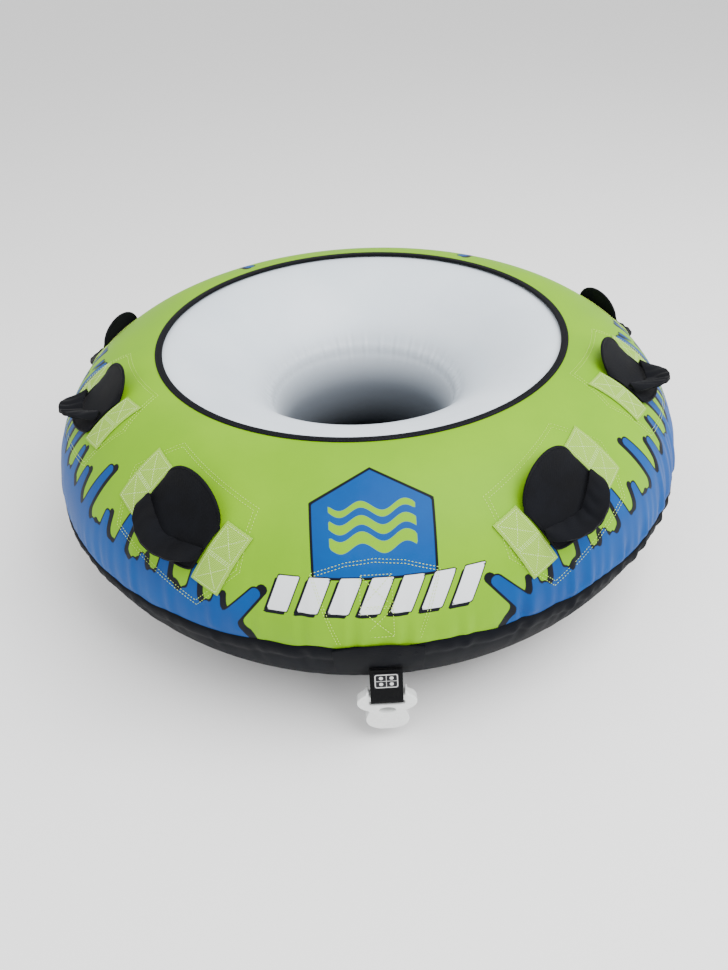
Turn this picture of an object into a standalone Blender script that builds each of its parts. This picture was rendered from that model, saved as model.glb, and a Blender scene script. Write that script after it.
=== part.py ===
"""One-rider towable tube: a round inflated bladder in a sewn fabric cover, with a tow point and six handles.

Frame: metres, +Z up. The floor panel's underside is the plane z = 0 and the tube's axis is Z.
The tow point faces -Y.
"""
import math

import bmesh
import bpy
import numpy as np
from mathutils import Matrix, Vector

# ---- driving dimensions, in metres and degrees ----
MM = 0.001
TUBE_RADIUS = 0.589  # inflated, at the side seam
TUBE_HEIGHT = 0.430
SEAM_HEIGHT = 0.211  # where the top cover meets the black skirt
HEM_RADIUS = 0.368  # the cover's round mouth, on the crown
THROAT_RADIUS = 0.152  # the narrowest part of the seat well
THROAT_HEIGHT = 0.225
FOOT_RADIUS = 0.400  # the circle where the tube leaves the ground
TOP_FULLNESS = 2.0  # exponents of the section's four quarters, 2 is an ellipse
FOOT_FULLNESS = 1.6
WELL_FULLNESS = 1.75
UNDER_FULLNESS = 2.0
SEGMENTS = 48  # round the tube
BLADDER_ROWS = 20
COVER_ROWS = 10

CLEARANCE = 0.0004  # between pieces that touch
LAID_GAP = 0.0008  # under a piece laid on the tube's curve
END_GAP = 0.004  # from a tab's edge to the guard and grip beside it
BLADDER_WALL = 0.0009
BLADDER_DROP = 0.0064  # bladder surface below the cover's outer surface
COVER_THICKNESS = 0.0012
FLOOR_THICKNESS = 0.0012
SEAM_GAP = 0.001
FOOT_GAP = 0.004  # from the skirt's lower edge to the floor panel's edge, along the section
CUT_DEPTH = 0.050

BINDING_WIDTH = 0.013
BINDING_EDGE = 0.003  # of that width, the part that stands in front of the cover's edge
BINDING_PLY = 0.0012
BINDING_UNDER = 0.0024  # depth of the binding's lower leg under the cover's outer surface

WEBBING_WIDTH = 0.050
WEBBING_PLY = 0.002

# Each handle pair: degrees from the tow axis, distance from the hem, twist in degrees, spacing of its tabs
HANDLE_PAIRS = {
    "front": (32.5, 0.188, 21.0, 0.186),
    "side": (70.8, 0.131, -8.0, 0.162),
    "rear": (112.0, 0.240, 0.0, 0.180),
}
TAB_LENGTH = 0.101
TAB_THICKNESS = 0.0024
GUARD_END_WIDTH = 0.070
GUARD_INBOARD = 0.036  # how far the guard bulges past its end width, towards the seat
GUARD_OUTBOARD = 0.014
GUARD_RIM_RISE = 0.024
GUARD_HEEL_RISE = 0.005
GUARD_THICKNESS = 0.004
GUARD_CURL = 2.2  # power of the guard's rise from its middle to its rim
GRIP_HEIGHT = 0.036
GRIP_LEAN = 0.022
GRIP_BEND = 0.024  # how far outboard the grip's lower edge bends at its middle
GRIP_ROOT_LIFT = 0.0088
GRIP_ROOT_BEND = 0.002  # rise of the lower edge at its middle
GRIP_CREASE_POWER = 1.3
GRIP_ARCH_POWER = 0.6
GRIP_HINGE_LIFT = 0.006
GRIP_PAD_THICKNESS = 0.0035
PATCH_THICKNESS = 0.0008
PATCH_GAP = 0.0010  # from the sewn-in patches down to the bladder
PATCH_DEPTH = BLADDER_DROP - PATCH_GAP  # below the cover's outer surface
PATCH_WIDTH = 0.270
PATCH_LENGTH = 0.150
PATCH_TAPER = 0.35

TOW_AZIMUTH = -90.0
TOW_PATCH_WIDTH = 0.136
TOW_PATCH_TOP = -0.008  # from the seam, down positive
TOW_PATCH_BOTTOM = 0.086
TOW_PATCH_THICKNESS = 0.003
TOW_PATCH_DOME = 0.010  # fall of the patch's top edge from its middle to its corners
TOW_EXIT = 0.050  # where the strap leaves the patch, below the seam
TOW_WEB_TOP = 0.218  # the hidden tow webbing, from the hem
STRAP_DROP = 0.060  # strap root to the connector's bar
STRAP_OFFSET = 0.009  # sideways, from the middle of the patch
STRAP_ROOT_RADIUS = 0.0026
STRAP_JOINED = 0.014  # length over which the loop's two legs are sewn together
LOOP_RADIUS = 0.0124  # outside of the strap's loop round the bar
LABEL_SIZE = (0.038, 0.028, 0.0006)
LABEL_DROP = 0.020

CONNECTOR_THICKNESS = 0.015
CONNECTOR_ROUNDING = 0.0035
BAR_END_WALL = 0.004
BAR_HALF_HEIGHT = 0.006
SLOT_SIDE_GAP = 0.0025  # beside the strap, at each end of the slot
SLOT_HALF_LENGTH = WEBBING_WIDTH / 2 + SLOT_SIDE_GAP
SLOT_DEPTH = 0.0085
EAR_WALL = 0.019  # past the slot's end
EAR_HALF_WIDTH = SLOT_HALF_LENGTH + EAR_WALL
EAR_HALF_HEIGHT = 0.025
EAR_DROP = 0.010
EAR_FOOT_SHARE = 0.8  # share of the ear's lower half that is drawn before the tongue takes over
TONGUE_WALL = 0.0065  # past the slot's end
TONGUE_HALF_WIDTH = SLOT_HALF_LENGTH + TONGUE_WALL
TONGUE_HALF_HEIGHT = 0.023
TONGUE_DROP = 0.050
TONGUE_SHOULDER = 0.004
TONGUE_POWER = 0.35
TONGUE_TIP_HALF = 0.012
ROPE_HOLE_HALF = (0.013, 0.0065)
ROPE_HOLE_DROP = 0.028

VALVE_AZIMUTH = 90.0
VALVE_TO_SEAM = 0.1106  # along the cover, so that the flap clears the zip
VALVE_BORE = 0.0085
VALVE_NECK = 0.0115
VALVE_FLANGE = 0.026
VALVE_COLLAR = 0.014
VALVE_CAP_RADIUS = 0.015
VALVE_CAP_THICKNESS = 0.0024
VALVE_FLANGE_THICKNESS = 0.0015
VALVE_HEIGHT = 0.006
VALVE_NECK_DEPTH = 0.014
MEMBRANE_DEPTH = 0.011
MEMBRANE_THICKNESS = 0.0008
TETHER_RADIUS = 0.0007
TETHER_START = 20.0
TETHER_SWEEP = 110.0
TETHER_INSET = 0.004  # from the flange's edge
TETHER_REACH = 0.0012  # past the cap's edge
BLADDER_HOLE = 0.013
COVER_HOLE = 0.036
FLAP_WIDTH = 0.100
FLAP_LENGTH = 0.096
FLAP_DOME = 0.0062
FLAP_THICKNESS = 0.0014
FLAP_FLATNESS = 1.8  # above 1 the flap's dome is flat over its middle

ZIP_START = 62.0
ZIP_END = 118.0
ZIP_TAPE_WIDTH = 0.024
ZIP_TEETH_WIDTH = 0.006
ZIP_TEETH_HEIGHT = 0.0018
ZIP_TAPE_THICKNESS = 0.0012
SLIDER_SIZE = (0.022, 0.0045, 0.013)
SLIDER_INSET = 2.0  # degrees from the zip's end
PULL_SIZE = (0.010, 0.0018, 0.032)
PULL_PIVOT_RISE = 0.004  # above the seam
SLIDER_ROUNDING = 0.0012
PULL_ROUNDING = 0.0006

GROMMET_COUNT = 4
GROMMET_CIRCLE = 0.090
GROMMET_BORE = 0.004
GROMMET_NECK = 0.0058
GROMMET_FLANGE = 0.010
GROMMET_FLANGE_THICKNESS = 0.0008
GROMMET_FOOT_RISE = 0.0001  # above the ground

COLOURS = {
    "lime_nylon": ((0.36, 0.62, 0.02), 0.6, 0.0),
    "lime_webbing": ((0.42, 0.68, 0.08), 0.75, 0.0),
    "black_nylon": ((0.012, 0.014, 0.022), 0.65, 0.0),
    "black_webbing": ((0.01, 0.01, 0.012), 0.7, 0.0),
    "black_binding": ((0.008, 0.009, 0.014), 0.6, 0.0),
    "black_neoprene": ((0.012, 0.013, 0.02), 0.8, 0.0),
    "white_pvc": ((0.78, 0.81, 0.86), 0.35, 0.0),
    "white_plastic": ((0.82, 0.84, 0.84), 0.3, 0.0),
    "white_backing": ((0.7, 0.7, 0.68), 0.8, 0.0),
    "label_print": ((0.03, 0.03, 0.035), 0.5, 0.0),
    "grey_metal": ((0.5, 0.5, 0.52), 0.35, 1.0),
}


# ---- scene and materials ----
def clear_scene():
    for obj in list(bpy.data.objects):
        bpy.data.objects.remove(obj, do_unlink=True)


def new_collection(name):
    collection = bpy.data.collections.new(name)
    bpy.context.scene.collection.children.link(collection)
    return collection


def make_material(name):
    colour, roughness, metallic = COLOURS[name]
    material = bpy.data.materials.new(name)
    material.use_nodes = True
    shader = material.node_tree.nodes["Principled BSDF"]
    shader.inputs["Base Color"].default_value = (*colour, 1)
    shader.inputs["Roughness"].default_value = roughness
    shader.inputs["Metallic"].default_value = metallic
    material.diffuse_color = (*colour, 1)
    return material


clear_scene()
PARTS = new_collection("towable_tube")
CUTTERS = new_collection("cutters")
MATERIALS = {name: make_material(name) for name in COLOURS}


def add_object(name, data, material, collection=PARTS):
    obj = bpy.data.objects.new(name, data)
    data.materials.append(MATERIALS[material])
    collection.objects.link(obj)
    return obj


def mesh_from(bm, name, smooth=True):
    mesh = bpy.data.meshes.new(name)
    bm.to_mesh(mesh)
    bm.free()
    if smooth:
        mesh.shade_smooth()
        mesh.set_sharp_from_angle(angle=math.radians(35))
    return mesh


# ---- the tube's section: four superellipse quarters, from the crown outwards and round ----
def quarter(centre, half, fullness, start, end, count=160):
    angles = np.radians(np.linspace(start, end, count, endpoint=False))
    cosine, sine = np.cos(angles), np.sin(angles)
    power = 2 / fullness
    across = centre[0] + half[0] * np.sign(cosine) * abs(cosine) ** power
    up = centre[1] + half[1] * np.sign(sine) * abs(sine) ** power
    return np.column_stack((across, up))


def section_outline():
    outer = TUBE_RADIUS - HEM_RADIUS
    upper = TUBE_HEIGHT - SEAM_HEIGHT
    foot = TUBE_RADIUS - FOOT_RADIUS
    well = HEM_RADIUS - THROAT_RADIUS
    under = FOOT_RADIUS - THROAT_RADIUS
    rise = TUBE_HEIGHT - THROAT_HEIGHT
    top = quarter((HEM_RADIUS, SEAM_HEIGHT), (outer, upper), TOP_FULLNESS, 90, 0)
    side = quarter((FOOT_RADIUS, SEAM_HEIGHT), (foot, SEAM_HEIGHT), FOOT_FULLNESS, 0, -90)
    below = quarter((FOOT_RADIUS, THROAT_HEIGHT), (under, THROAT_HEIGHT), UNDER_FULLNESS, -90, -180)
    throat = quarter((HEM_RADIUS, THROAT_HEIGHT), (well, rise), WELL_FULLNESS, -180, -270)
    points = np.vstack((top, side, below, throat, top[:1]))
    return points, np.arange(0, 5) * len(top)


OUTLINE, QUARTER_STARTS = section_outline()
STEPS = np.linalg.norm(np.diff(OUTLINE, axis=0), axis=1)
ARC = np.concatenate(([0.0], np.cumsum(STEPS)))
TANGENTS = np.gradient(OUTLINE, ARC, axis=0)
SEAM_ARC = float(ARC[QUARTER_STARTS[1]])
VALVE_DISTANCE = SEAM_ARC - VALVE_TO_SEAM  # from the hem
FOOT_ARC = float(ARC[QUARTER_STARTS[2]])
ROUND_ARC = float(ARC[-1])


def section_at(distance, lift=0.0):
    """(radius, height) on the section at a distance from the hem, lifted along the outward normal."""
    at = distance % ROUND_ARC
    across, up = (np.interp(at, ARC, OUTLINE[:, i]) for i in (0, 1))
    along, down = (np.interp(at, ARC, TANGENTS[:, i]) for i in (0, 1))
    size = math.hypot(along, down)
    return across - down / size * lift, up + along / size * lift


def on_tube(azimuth, distance, lift=0.0):
    radius, height = section_at(distance, lift)
    angle = math.radians(azimuth)
    return Vector((radius * math.cos(angle), radius * math.sin(angle), height))


def surface_frame(azimuth, distance, lift=0.0):
    """A matrix whose Z axis is the surface normal and whose Y axis runs down the section."""
    point = on_tube(azimuth, distance, lift)
    normal = (on_tube(azimuth, distance, lift + MM) - point).normalized()
    down = (on_tube(azimuth, distance + MM, lift) - point).normalized()
    side = down.cross(normal).normalized()
    down = normal.cross(side)
    return Matrix.Translation(point) @ Matrix((side, down, normal)).transposed().to_4x4()


# ---- ways of making a piece ----
def add_screw(obj, steps):
    screw = obj.modifiers.new("turn", "SCREW")
    screw.axis = "Z"
    screw.steps = steps
    screw.render_steps = steps
    screw.use_merge_vertices = True
    screw.merge_threshold = 0.1 * MM
    screw.use_smooth_shade = True
    return screw


def turned(name, profile, material, closed=False, steps=SEGMENTS):
    """A profile of (radius, height) points turned round Z."""
    bm = bmesh.new()
    verts = [bm.verts.new((radius, 0, height)) for radius, height in profile]
    for first, second in zip(verts, verts[1:]):
        bm.edges.new((first, second))
    if closed:
        bm.edges.new((verts[-1], verts[0]))
    obj = add_object(name, mesh_from(bm, name, smooth=False), material)
    add_screw(obj, steps)
    return obj


def add_solidify(obj, thickness, offset):
    solid = obj.modifiers.new("wall", "SOLIDIFY")
    solid.thickness = thickness
    solid.offset = offset
    solid.use_even_offset = True
    return solid


def rows(start, end, count):
    return [section_at(distance) for distance in np.linspace(start, end, count + 1)]


def laid(name, place, cells, thickness, material, outward=None, shift=0.0):
    """A grid from place(u, v), with u and v from -1 to 1, thickened outwards, or on the side of outward."""
    bm = bmesh.new()
    bmesh.ops.create_grid(bm, x_segments=cells[0], y_segments=cells[1], size=1)
    for vert in bm.verts:
        vert.co = place(vert.co.x, vert.co.y)
    bm.normal_update()
    middle = sum((face.normal for face in bm.faces), Vector())
    centre = sum((face.calc_center_median() for face in bm.faces), Vector()) / len(bm.faces)
    if outward is None:
        outward = centre - Vector((centre.x, centre.y, 0)).normalized() * HEM_RADIUS
        outward.z = centre.z - SEAM_HEIGHT
    if middle.dot(outward) < 0:
        bmesh.ops.reverse_faces(bm, faces=bm.faces)
    bm.normal_update()
    for vert in bm.verts:
        vert.co += vert.normal * shift
    obj = add_object(name, mesh_from(bm, name), material)
    add_solidify(obj, thickness, 1)
    return obj


def flat_outline(name, outlines, thickness, material, rounding=0.0, bevel_segments=1):
    """A flat shape with holes, standing in its object's XY plane and as thick as stated along Z."""
    curve = bpy.data.curves.new(name, "CURVE")
    curve.dimensions = "2D"
    curve.fill_mode = "BOTH"
    curve.extrude = thickness / 2
    for points in outlines:
        spline = curve.splines.new("POLY")
        spline.points.add(len(points) - 1)
        for point, (x, y) in zip(spline.points, points):
            point.co = (x, y, 0, 1)
        spline.use_cyclic_u = True
    obj = add_object(name, curve, material)
    if rounding:
        weld = obj.modifiers.new("weld", "WELD")
        weld.merge_threshold = 0.01 * MM
        bevel = obj.modifiers.new("round", "BEVEL")
        bevel.width = rounding
        bevel.segments = bevel_segments
        bevel.limit_method = "ANGLE"
        bevel.angle_limit = math.radians(60)
    return obj


def box(name, size, matrix, material, rounding=0.0):
    bm = bmesh.new()
    bmesh.ops.create_cube(bm, size=1, matrix=Matrix.Diagonal((*size, 1)))
    obj = add_object(name, mesh_from(bm, name), material)
    obj.matrix_world = matrix
    if rounding:
        bevel = obj.modifiers.new("round", "BEVEL")
        bevel.width = rounding
        bevel.segments = 2
    return obj


def cylinder_cutter(name, radius, depth, matrix, sides=24):
    bm = bmesh.new()
    bmesh.ops.create_cone(bm, cap_ends=True, segments=sides, radius1=radius, radius2=radius, depth=depth)
    mesh = bpy.data.meshes.new(name)
    bm.to_mesh(mesh)
    bm.free()
    cutter = bpy.data.objects.new(name, mesh)
    CUTTERS.objects.link(cutter)
    cutter.matrix_world = matrix
    cutter.hide_render = True
    cutter.display_type = "WIRE"
    return cutter


def cut(obj, cutter):
    boolean = obj.modifiers.new("cut_" + cutter.name, "BOOLEAN")
    boolean.operation = "DIFFERENCE"
    boolean.object = cutter


def hang_on(obj, pivot):
    """Puts the object's origin on its joint's axis and leaves its shape where it is."""
    seat = obj.matrix_basis.copy()
    moved = seat.copy()
    moved.translation = pivot
    obj.data.transform(moved.inverted() @ seat)
    obj.matrix_world = moved


# ---- the inflated bladder and the sewn cover ----
def build_bladder(valve_frame):
    arcs = np.linspace(0, ROUND_ARC, BLADDER_ROWS, endpoint=False)
    bladder = turned("bladder", [section_at(arc, -BLADDER_DROP) for arc in arcs], "white_pvc", closed=True)
    add_solidify(bladder, BLADDER_WALL, -1)
    cut(bladder, cylinder_cutter("bladder_hole", BLADDER_HOLE, CUT_DEPTH, valve_frame))


def build_cover(valve_frame):
    top = turned("cover_top", rows(0, SEAM_ARC - SEAM_GAP / 2, COVER_ROWS), "lime_nylon")
    add_solidify(top, COVER_THICKNESS, -1)
    cut(top, cylinder_cutter("valve_window", COVER_HOLE, CUT_DEPTH, valve_frame))
    skirt_rows = rows(SEAM_ARC + SEAM_GAP / 2, FOOT_ARC - FOOT_GAP, COVER_ROWS + 1)
    skirt = turned("cover_skirt", skirt_rows, "black_nylon")
    add_solidify(skirt, COVER_THICKNESS, -1)


def build_binding():
    inner, outer = -BINDING_EDGE, BINDING_WIDTH - BINDING_EDGE
    over = CLEARANCE + BINDING_PLY
    under = -BINDING_UNDER - BINDING_PLY
    corners = [
        (inner, over), (outer, over), (outer, CLEARANCE), (-CLEARANCE, CLEARANCE),
        (-CLEARANCE, -BINDING_UNDER), (outer, -BINDING_UNDER), (outer, under), (inner, under),
    ]
    turned("hem_binding", [section_at(arc, lift) for arc, lift in corners], "black_binding", closed=True)


def grommet_places():
    turn = 2 * math.pi / GROMMET_COUNT
    for index in range(GROMMET_COUNT):
        angle = turn * (index + 0.5)
        yield Vector((GROMMET_CIRCLE * math.cos(angle), GROMMET_CIRCLE * math.sin(angle), 0))


def build_floor():
    profile = [(0, FLOOR_THICKNESS), (FOOT_RADIUS, FLOOR_THICKNESS), (FOOT_RADIUS, 0), (0, 0)]
    floor = turned("floor_panel", profile, "black_nylon")
    top = FLOOR_THICKNESS + CLEARANCE
    flange_top = top + GROMMET_FLANGE_THICKNESS
    ring = [
        (GROMMET_BORE, flange_top), (GROMMET_FLANGE, flange_top), (GROMMET_FLANGE, top),
        (GROMMET_NECK, top), (GROMMET_NECK, GROMMET_FOOT_RISE), (GROMMET_BORE, GROMMET_FOOT_RISE),
    ]
    for number, place in enumerate(grommet_places(), 1):
        seat = Matrix.Translation(place)
        cut(floor, cylinder_cutter(f"drain_{number}", GROMMET_NECK + CLEARANCE, CUT_DEPTH, seat, 12))
        grommet = turned(f"drain_grommet_{number}", ring, "grey_metal", closed=True, steps=12)
        grommet.location = place


# ---- the handles ----
def handle_place(pair, side):
    """place(p, q, lift) for a handle: p runs along the grip, q outboard, both in metres on the cover."""
    angle, distance, twist, _ = HANDLE_PAIRS[pair]
    azimuth = TOW_AZIMUTH + side * angle
    cosine = math.cos(math.radians(twist))
    sine = math.sin(math.radians(twist))

    def place(p, q, lift=0.0):
        along = p * cosine + q * sine
        arc = distance - p * sine + q * cosine
        radius = section_at(arc)[0]
        return on_tube(azimuth + side * math.degrees(along / radius), arc, lift)

    return place


def build_tab(name, place, middle):
    half = WEBBING_WIDTH / 2

    def tab(u, v):
        return place(middle + u * half, v * TAB_LENGTH / 2, LAID_GAP)

    laid(name, tab, (2, 4), TAB_THICKNESS, "lime_webbing")


def build_guard(name, place, half_span):
    end = GUARD_END_WIDTH / 2

    def guard(u, v):
        bulge = math.sqrt(max(0.0, 1 - u * u))
        reach = GUARD_OUTBOARD if v > 0 else GUARD_INBOARD
        rise = GUARD_HEEL_RISE if v > 0 else GUARD_RIM_RISE
        lift = LAID_GAP + bulge * rise * abs(v) ** GUARD_CURL
        return place(u * half_span, v * (end + reach * bulge), lift)

    laid(name, guard, (10, 6), GUARD_THICKNESS, "black_neoprene")


def build_grip(suffix, place, half_span):
    """The padded strap that the hand holds: it rises from both tabs and leans outboard."""
    end = GUARD_END_WIDTH / 2

    def strip(u, v):
        height = (v + 1) / 2
        crease = 1 - abs(u) ** GRIP_CREASE_POWER
        arch = max(0.0, 1 - u * u) ** GRIP_ARCH_POWER
        low = (GRIP_BEND * crease, GRIP_ROOT_LIFT + GRIP_ROOT_BEND * crease)
        high = (end / 2 + GRIP_LEAN * arch, GRIP_ROOT_LIFT + GRIP_HEIGHT * arch)
        q = low[0] + (high[0] - low[0]) * height
        lift = low[1] + (high[1] - low[1]) * height
        return place(u * half_span, q, lift)

    seat_side = place(0, 0, end) - place(0, end, 0)
    cells = (10, 2)
    pad = laid(f"grip_pad_{suffix}", strip, cells, GRIP_PAD_THICKNESS, "black_neoprene", seat_side)
    webbing = laid(
        f"grip_webbing_{suffix}", strip, cells, WEBBING_PLY, "black_webbing", -seat_side, CLEARANCE
    )
    hinge = (place(-half_span, 0, GRIP_HINGE_LIFT) + place(half_span, 0, GRIP_HINGE_LIFT)) / 2
    hang_on(pad, hinge)
    hang_on(webbing, hinge)


def build_patch(name, place):
    def patch(u, v):
        width = PATCH_WIDTH / 2 * (1 - PATCH_TAPER * abs(v))
        return place(u * width, v * PATCH_LENGTH / 2, -PATCH_DEPTH)

    laid(name, patch, (10, 8), PATCH_THICKNESS, "white_backing")


def build_handle(pair, side):
    suffix = f"{pair}_{'right' if side > 0 else 'left'}"
    spacing = HANDLE_PAIRS[pair][3]
    place = handle_place(pair, side)
    half_span = (spacing - WEBBING_WIDTH) / 2 - END_GAP
    build_tab(f"tab_near_{suffix}", place, -spacing / 2)
    build_tab(f"tab_far_{suffix}", place, spacing / 2)
    build_guard(f"knuckle_guard_{suffix}", place, half_span)
    build_grip(suffix, place, half_span)
    build_patch(f"handle_patch_{suffix}", place)


# ---- the tow point ----
def tow_grid(width, top, bottom, lift, dome=0.0):
    def place(u, v):
        upper = top + dome * u * u
        arc = upper + (bottom - upper) * (v + 1) / 2
        return on_tube(TOW_AZIMUTH + math.degrees(u * width / 2 / TUBE_RADIUS), arc, lift)

    return place


def arc_points(centre, radius, start, end, count):
    angles = np.radians(np.linspace(start, end, count))
    return [(centre[0] + radius * math.cos(a), centre[1] + radius * math.sin(a)) for a in angles]


def teardrop(tip_radius, drop, loop_radius, count):
    """A strap loop's side outline: a small round at the top, tangent lines, and a larger round below."""
    slope = math.degrees(math.asin((loop_radius - tip_radius) / drop))
    top = arc_points((0, 0), tip_radius, slope, 180 - slope, 5)
    bottom = arc_points((0, -drop), loop_radius, 180 - slope, 360 + slope, count)
    return top + bottom


def strap_origin():
    radius, height = section_at(SEAM_ARC + TOW_EXIT, TOW_PATCH_THICKNESS + LAID_GAP)
    return Vector((STRAP_OFFSET, -(radius + STRAP_ROOT_RADIUS + 2 * CLEARANCE), height))


def side_plane(point):
    """Turns a flat outline's X to world Y, its Y to world Z and its thickness to world X."""
    return Matrix.Translation(point) @ Matrix(((0, 0, 1), (1, 0, 0), (0, 1, 0))).to_4x4()


def front_plane(point):
    """Turns a flat outline's X to world X, its Y to world Z and its thickness to world -Y."""
    return Matrix.Translation(point) @ Matrix(((1, 0, 0), (0, 0, -1), (0, 1, 0))).to_4x4()


def build_tow_strap():
    root = strap_origin()
    outside = teardrop(STRAP_ROOT_RADIUS, STRAP_DROP, LOOP_RADIUS, 15)
    inner_drop = STRAP_DROP - STRAP_JOINED
    inner = teardrop(CLEARANCE, inner_drop, LOOP_RADIUS - WEBBING_PLY, 13)
    inside = [(x, y - STRAP_JOINED) for x, y in inner]
    strap = flat_outline("tow_strap", [outside, inside], WEBBING_WIDTH, "black_webbing")
    strap.matrix_world = side_plane(root)
    slope = math.asin((LOOP_RADIUS - STRAP_ROOT_RADIUS) / STRAP_DROP)
    face = STRAP_ROOT_RADIUS + LABEL_DROP * math.tan(slope) + CLEARANCE + LABEL_SIZE[2]
    turn = Matrix.Rotation(-slope, 4, "X")
    centre = Matrix.Translation(root + Vector((0, -face, -LABEL_DROP)))
    size = (LABEL_SIZE[0], LABEL_SIZE[2], LABEL_SIZE[1])
    hang_on(box("tow_label", size, centre @ turn, "label_print"), root)
    return root


def connector_outline():
    """Two ears beside the bar and a tongue below them, with the bar's notch between the ears."""
    heights = np.concatenate((
        np.linspace(-EAR_DROP + EAR_HALF_HEIGHT, -EAR_DROP - EAR_HALF_HEIGHT * EAR_FOOT_SHARE, 13),
        np.linspace(-TONGUE_DROP + TONGUE_SHOULDER, -TONGUE_DROP - TONGUE_HALF_HEIGHT, 9),
    ))

    def half_width(height):
        ear = 1 - ((height + EAR_DROP) / EAR_HALF_HEIGHT) ** 2
        tongue = 1 - ((height + TONGUE_DROP) / TONGUE_HALF_HEIGHT) ** 2
        ear_width = EAR_HALF_WIDTH * math.sqrt(max(0.0, ear))
        tongue_width = TONGUE_HALF_WIDTH * max(0.0, tongue) ** TONGUE_POWER
        beside_notch = SLOT_HALF_LENGTH + BAR_END_WALL if height > BAR_HALF_HEIGHT else 0.0
        return max(ear_width, tongue_width, beside_notch)

    notch = [(SLOT_HALF_LENGTH, BAR_HALF_HEIGHT), (SLOT_HALF_LENGTH, heights[0])]
    edge = [(half_width(height), height) for height in heights[:-1]]
    side = notch + edge + [(TONGUE_TIP_HALF, heights[-1])]
    return side + [(-x, y) for x, y in reversed(side)]


def build_connector(root):
    bar = root + Vector((0, 0, -STRAP_DROP))
    slot_top, slot_bottom = -BAR_HALF_HEIGHT, -BAR_HALF_HEIGHT - SLOT_DEPTH
    length = SLOT_HALF_LENGTH
    slot = [(-length, slot_bottom), (length, slot_bottom), (length, slot_top), (-length, slot_top)]
    turns = np.radians(np.arange(0, 360, 22.5))
    hole = [
        (ROPE_HOLE_HALF[0] * math.cos(a), -ROPE_HOLE_DROP + ROPE_HOLE_HALF[1] * math.sin(a)) for a in turns
    ]
    connector = flat_outline(
        "tow_connector", [connector_outline(), slot, hole], CONNECTOR_THICKNESS, "white_plastic",
        CONNECTOR_ROUNDING,
    )
    connector.matrix_world = front_plane(bar)


def build_tow_point():
    top, bottom = SEAM_ARC + TOW_PATCH_TOP, SEAM_ARC + TOW_PATCH_BOTTOM
    patch = tow_grid(TOW_PATCH_WIDTH, top, bottom, LAID_GAP, TOW_PATCH_DOME)
    laid("tow_patch", patch, (6, 5), TOW_PATCH_THICKNESS, "black_nylon")
    web = tow_grid(WEBBING_WIDTH, TOW_WEB_TOP, SEAM_ARC + TOW_EXIT, -PATCH_DEPTH)
    laid("tow_anchor_webbing", web, (2, 9), PATCH_THICKNESS, "black_webbing")
    root = build_tow_strap()
    build_connector(root)


# ---- inflation valve, its window flap and the zip, all at the rear ----
def build_valve():
    frame = surface_frame(VALVE_AZIMUTH, VALVE_DISTANCE, -BLADDER_DROP)
    flange_top = CLEARANCE + VALVE_FLANGE_THICKNESS
    body = [
        (VALVE_BORE, VALVE_HEIGHT), (VALVE_COLLAR, VALVE_HEIGHT), (VALVE_COLLAR, flange_top),
        (VALVE_FLANGE, flange_top), (VALVE_FLANGE, CLEARANCE), (VALVE_NECK, CLEARANCE),
        (VALVE_NECK, -VALVE_NECK_DEPTH), (VALVE_BORE, -VALVE_NECK_DEPTH),
    ]
    turned("valve_body", body, "white_plastic", closed=True, steps=16).matrix_world = frame
    plug = VALVE_BORE - CLEARANCE
    cap_bottom = VALVE_HEIGHT + CLEARANCE
    cap_top = cap_bottom + VALVE_CAP_THICKNESS
    cap = [
        (0, cap_top), (VALVE_CAP_RADIUS, cap_top), (VALVE_CAP_RADIUS, cap_bottom),
        (plug, cap_bottom), (plug, 0), (0, 0),
    ]
    turned("valve_cap", cap, "white_plastic", steps=16).matrix_world = frame
    top, bottom = -MEMBRANE_DEPTH, -MEMBRANE_DEPTH - MEMBRANE_THICKNESS
    membrane = [(0, top), (plug, top), (plug, bottom), (0, bottom)]
    turned("valve_membrane", membrane, "black_neoprene", steps=16).matrix_world = frame
    build_tether(frame, flange_top, cap_bottom)
    return frame


def build_tether(frame, flange_top, cap_bottom):
    curve = bpy.data.curves.new("valve_tether", "CURVE")
    curve.dimensions = "3D"
    curve.bevel_depth = TETHER_RADIUS
    curve.bevel_resolution = 1
    curve.use_fill_caps = True
    spline = curve.splines.new("POLY")
    start = VALVE_FLANGE - TETHER_INSET
    reach = VALVE_CAP_RADIUS + TETHER_REACH
    count = 9
    spline.points.add(count - 1)
    lift = flange_top + TETHER_RADIUS + CLEARANCE
    for index, point in enumerate(spline.points):
        share = index / (count - 1)
        turn = math.radians(TETHER_START + TETHER_SWEEP * share)
        radius = start + (reach - start) * share
        height = lift + (cap_bottom - lift) * share
        point.co = (radius * math.cos(turn), radius * math.sin(turn), height, 1)
    tether = add_object("valve_tether", curve, "white_plastic")
    tether.matrix_world = frame


def build_flap():
    top = VALVE_DISTANCE - FLAP_LENGTH / 2

    def flap(u, v):
        dome = max(0.0, 1 - u * u) * max(0.0, 1 - v * v)
        arc = top + FLAP_LENGTH * (v + 1) / 2
        radius = section_at(VALVE_DISTANCE)[0]
        azimuth = VALVE_AZIMUTH + math.degrees(u * FLAP_WIDTH / 2 / radius)
        return on_tube(azimuth, arc, LAID_GAP + FLAP_DOME * min(1.0, FLAP_FLATNESS * dome))

    cloth = laid("valve_flap", flap, (6, 6), FLAP_THICKNESS, "lime_nylon")
    hang_on(cloth, on_tube(VALVE_AZIMUTH, top, MM))


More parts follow.
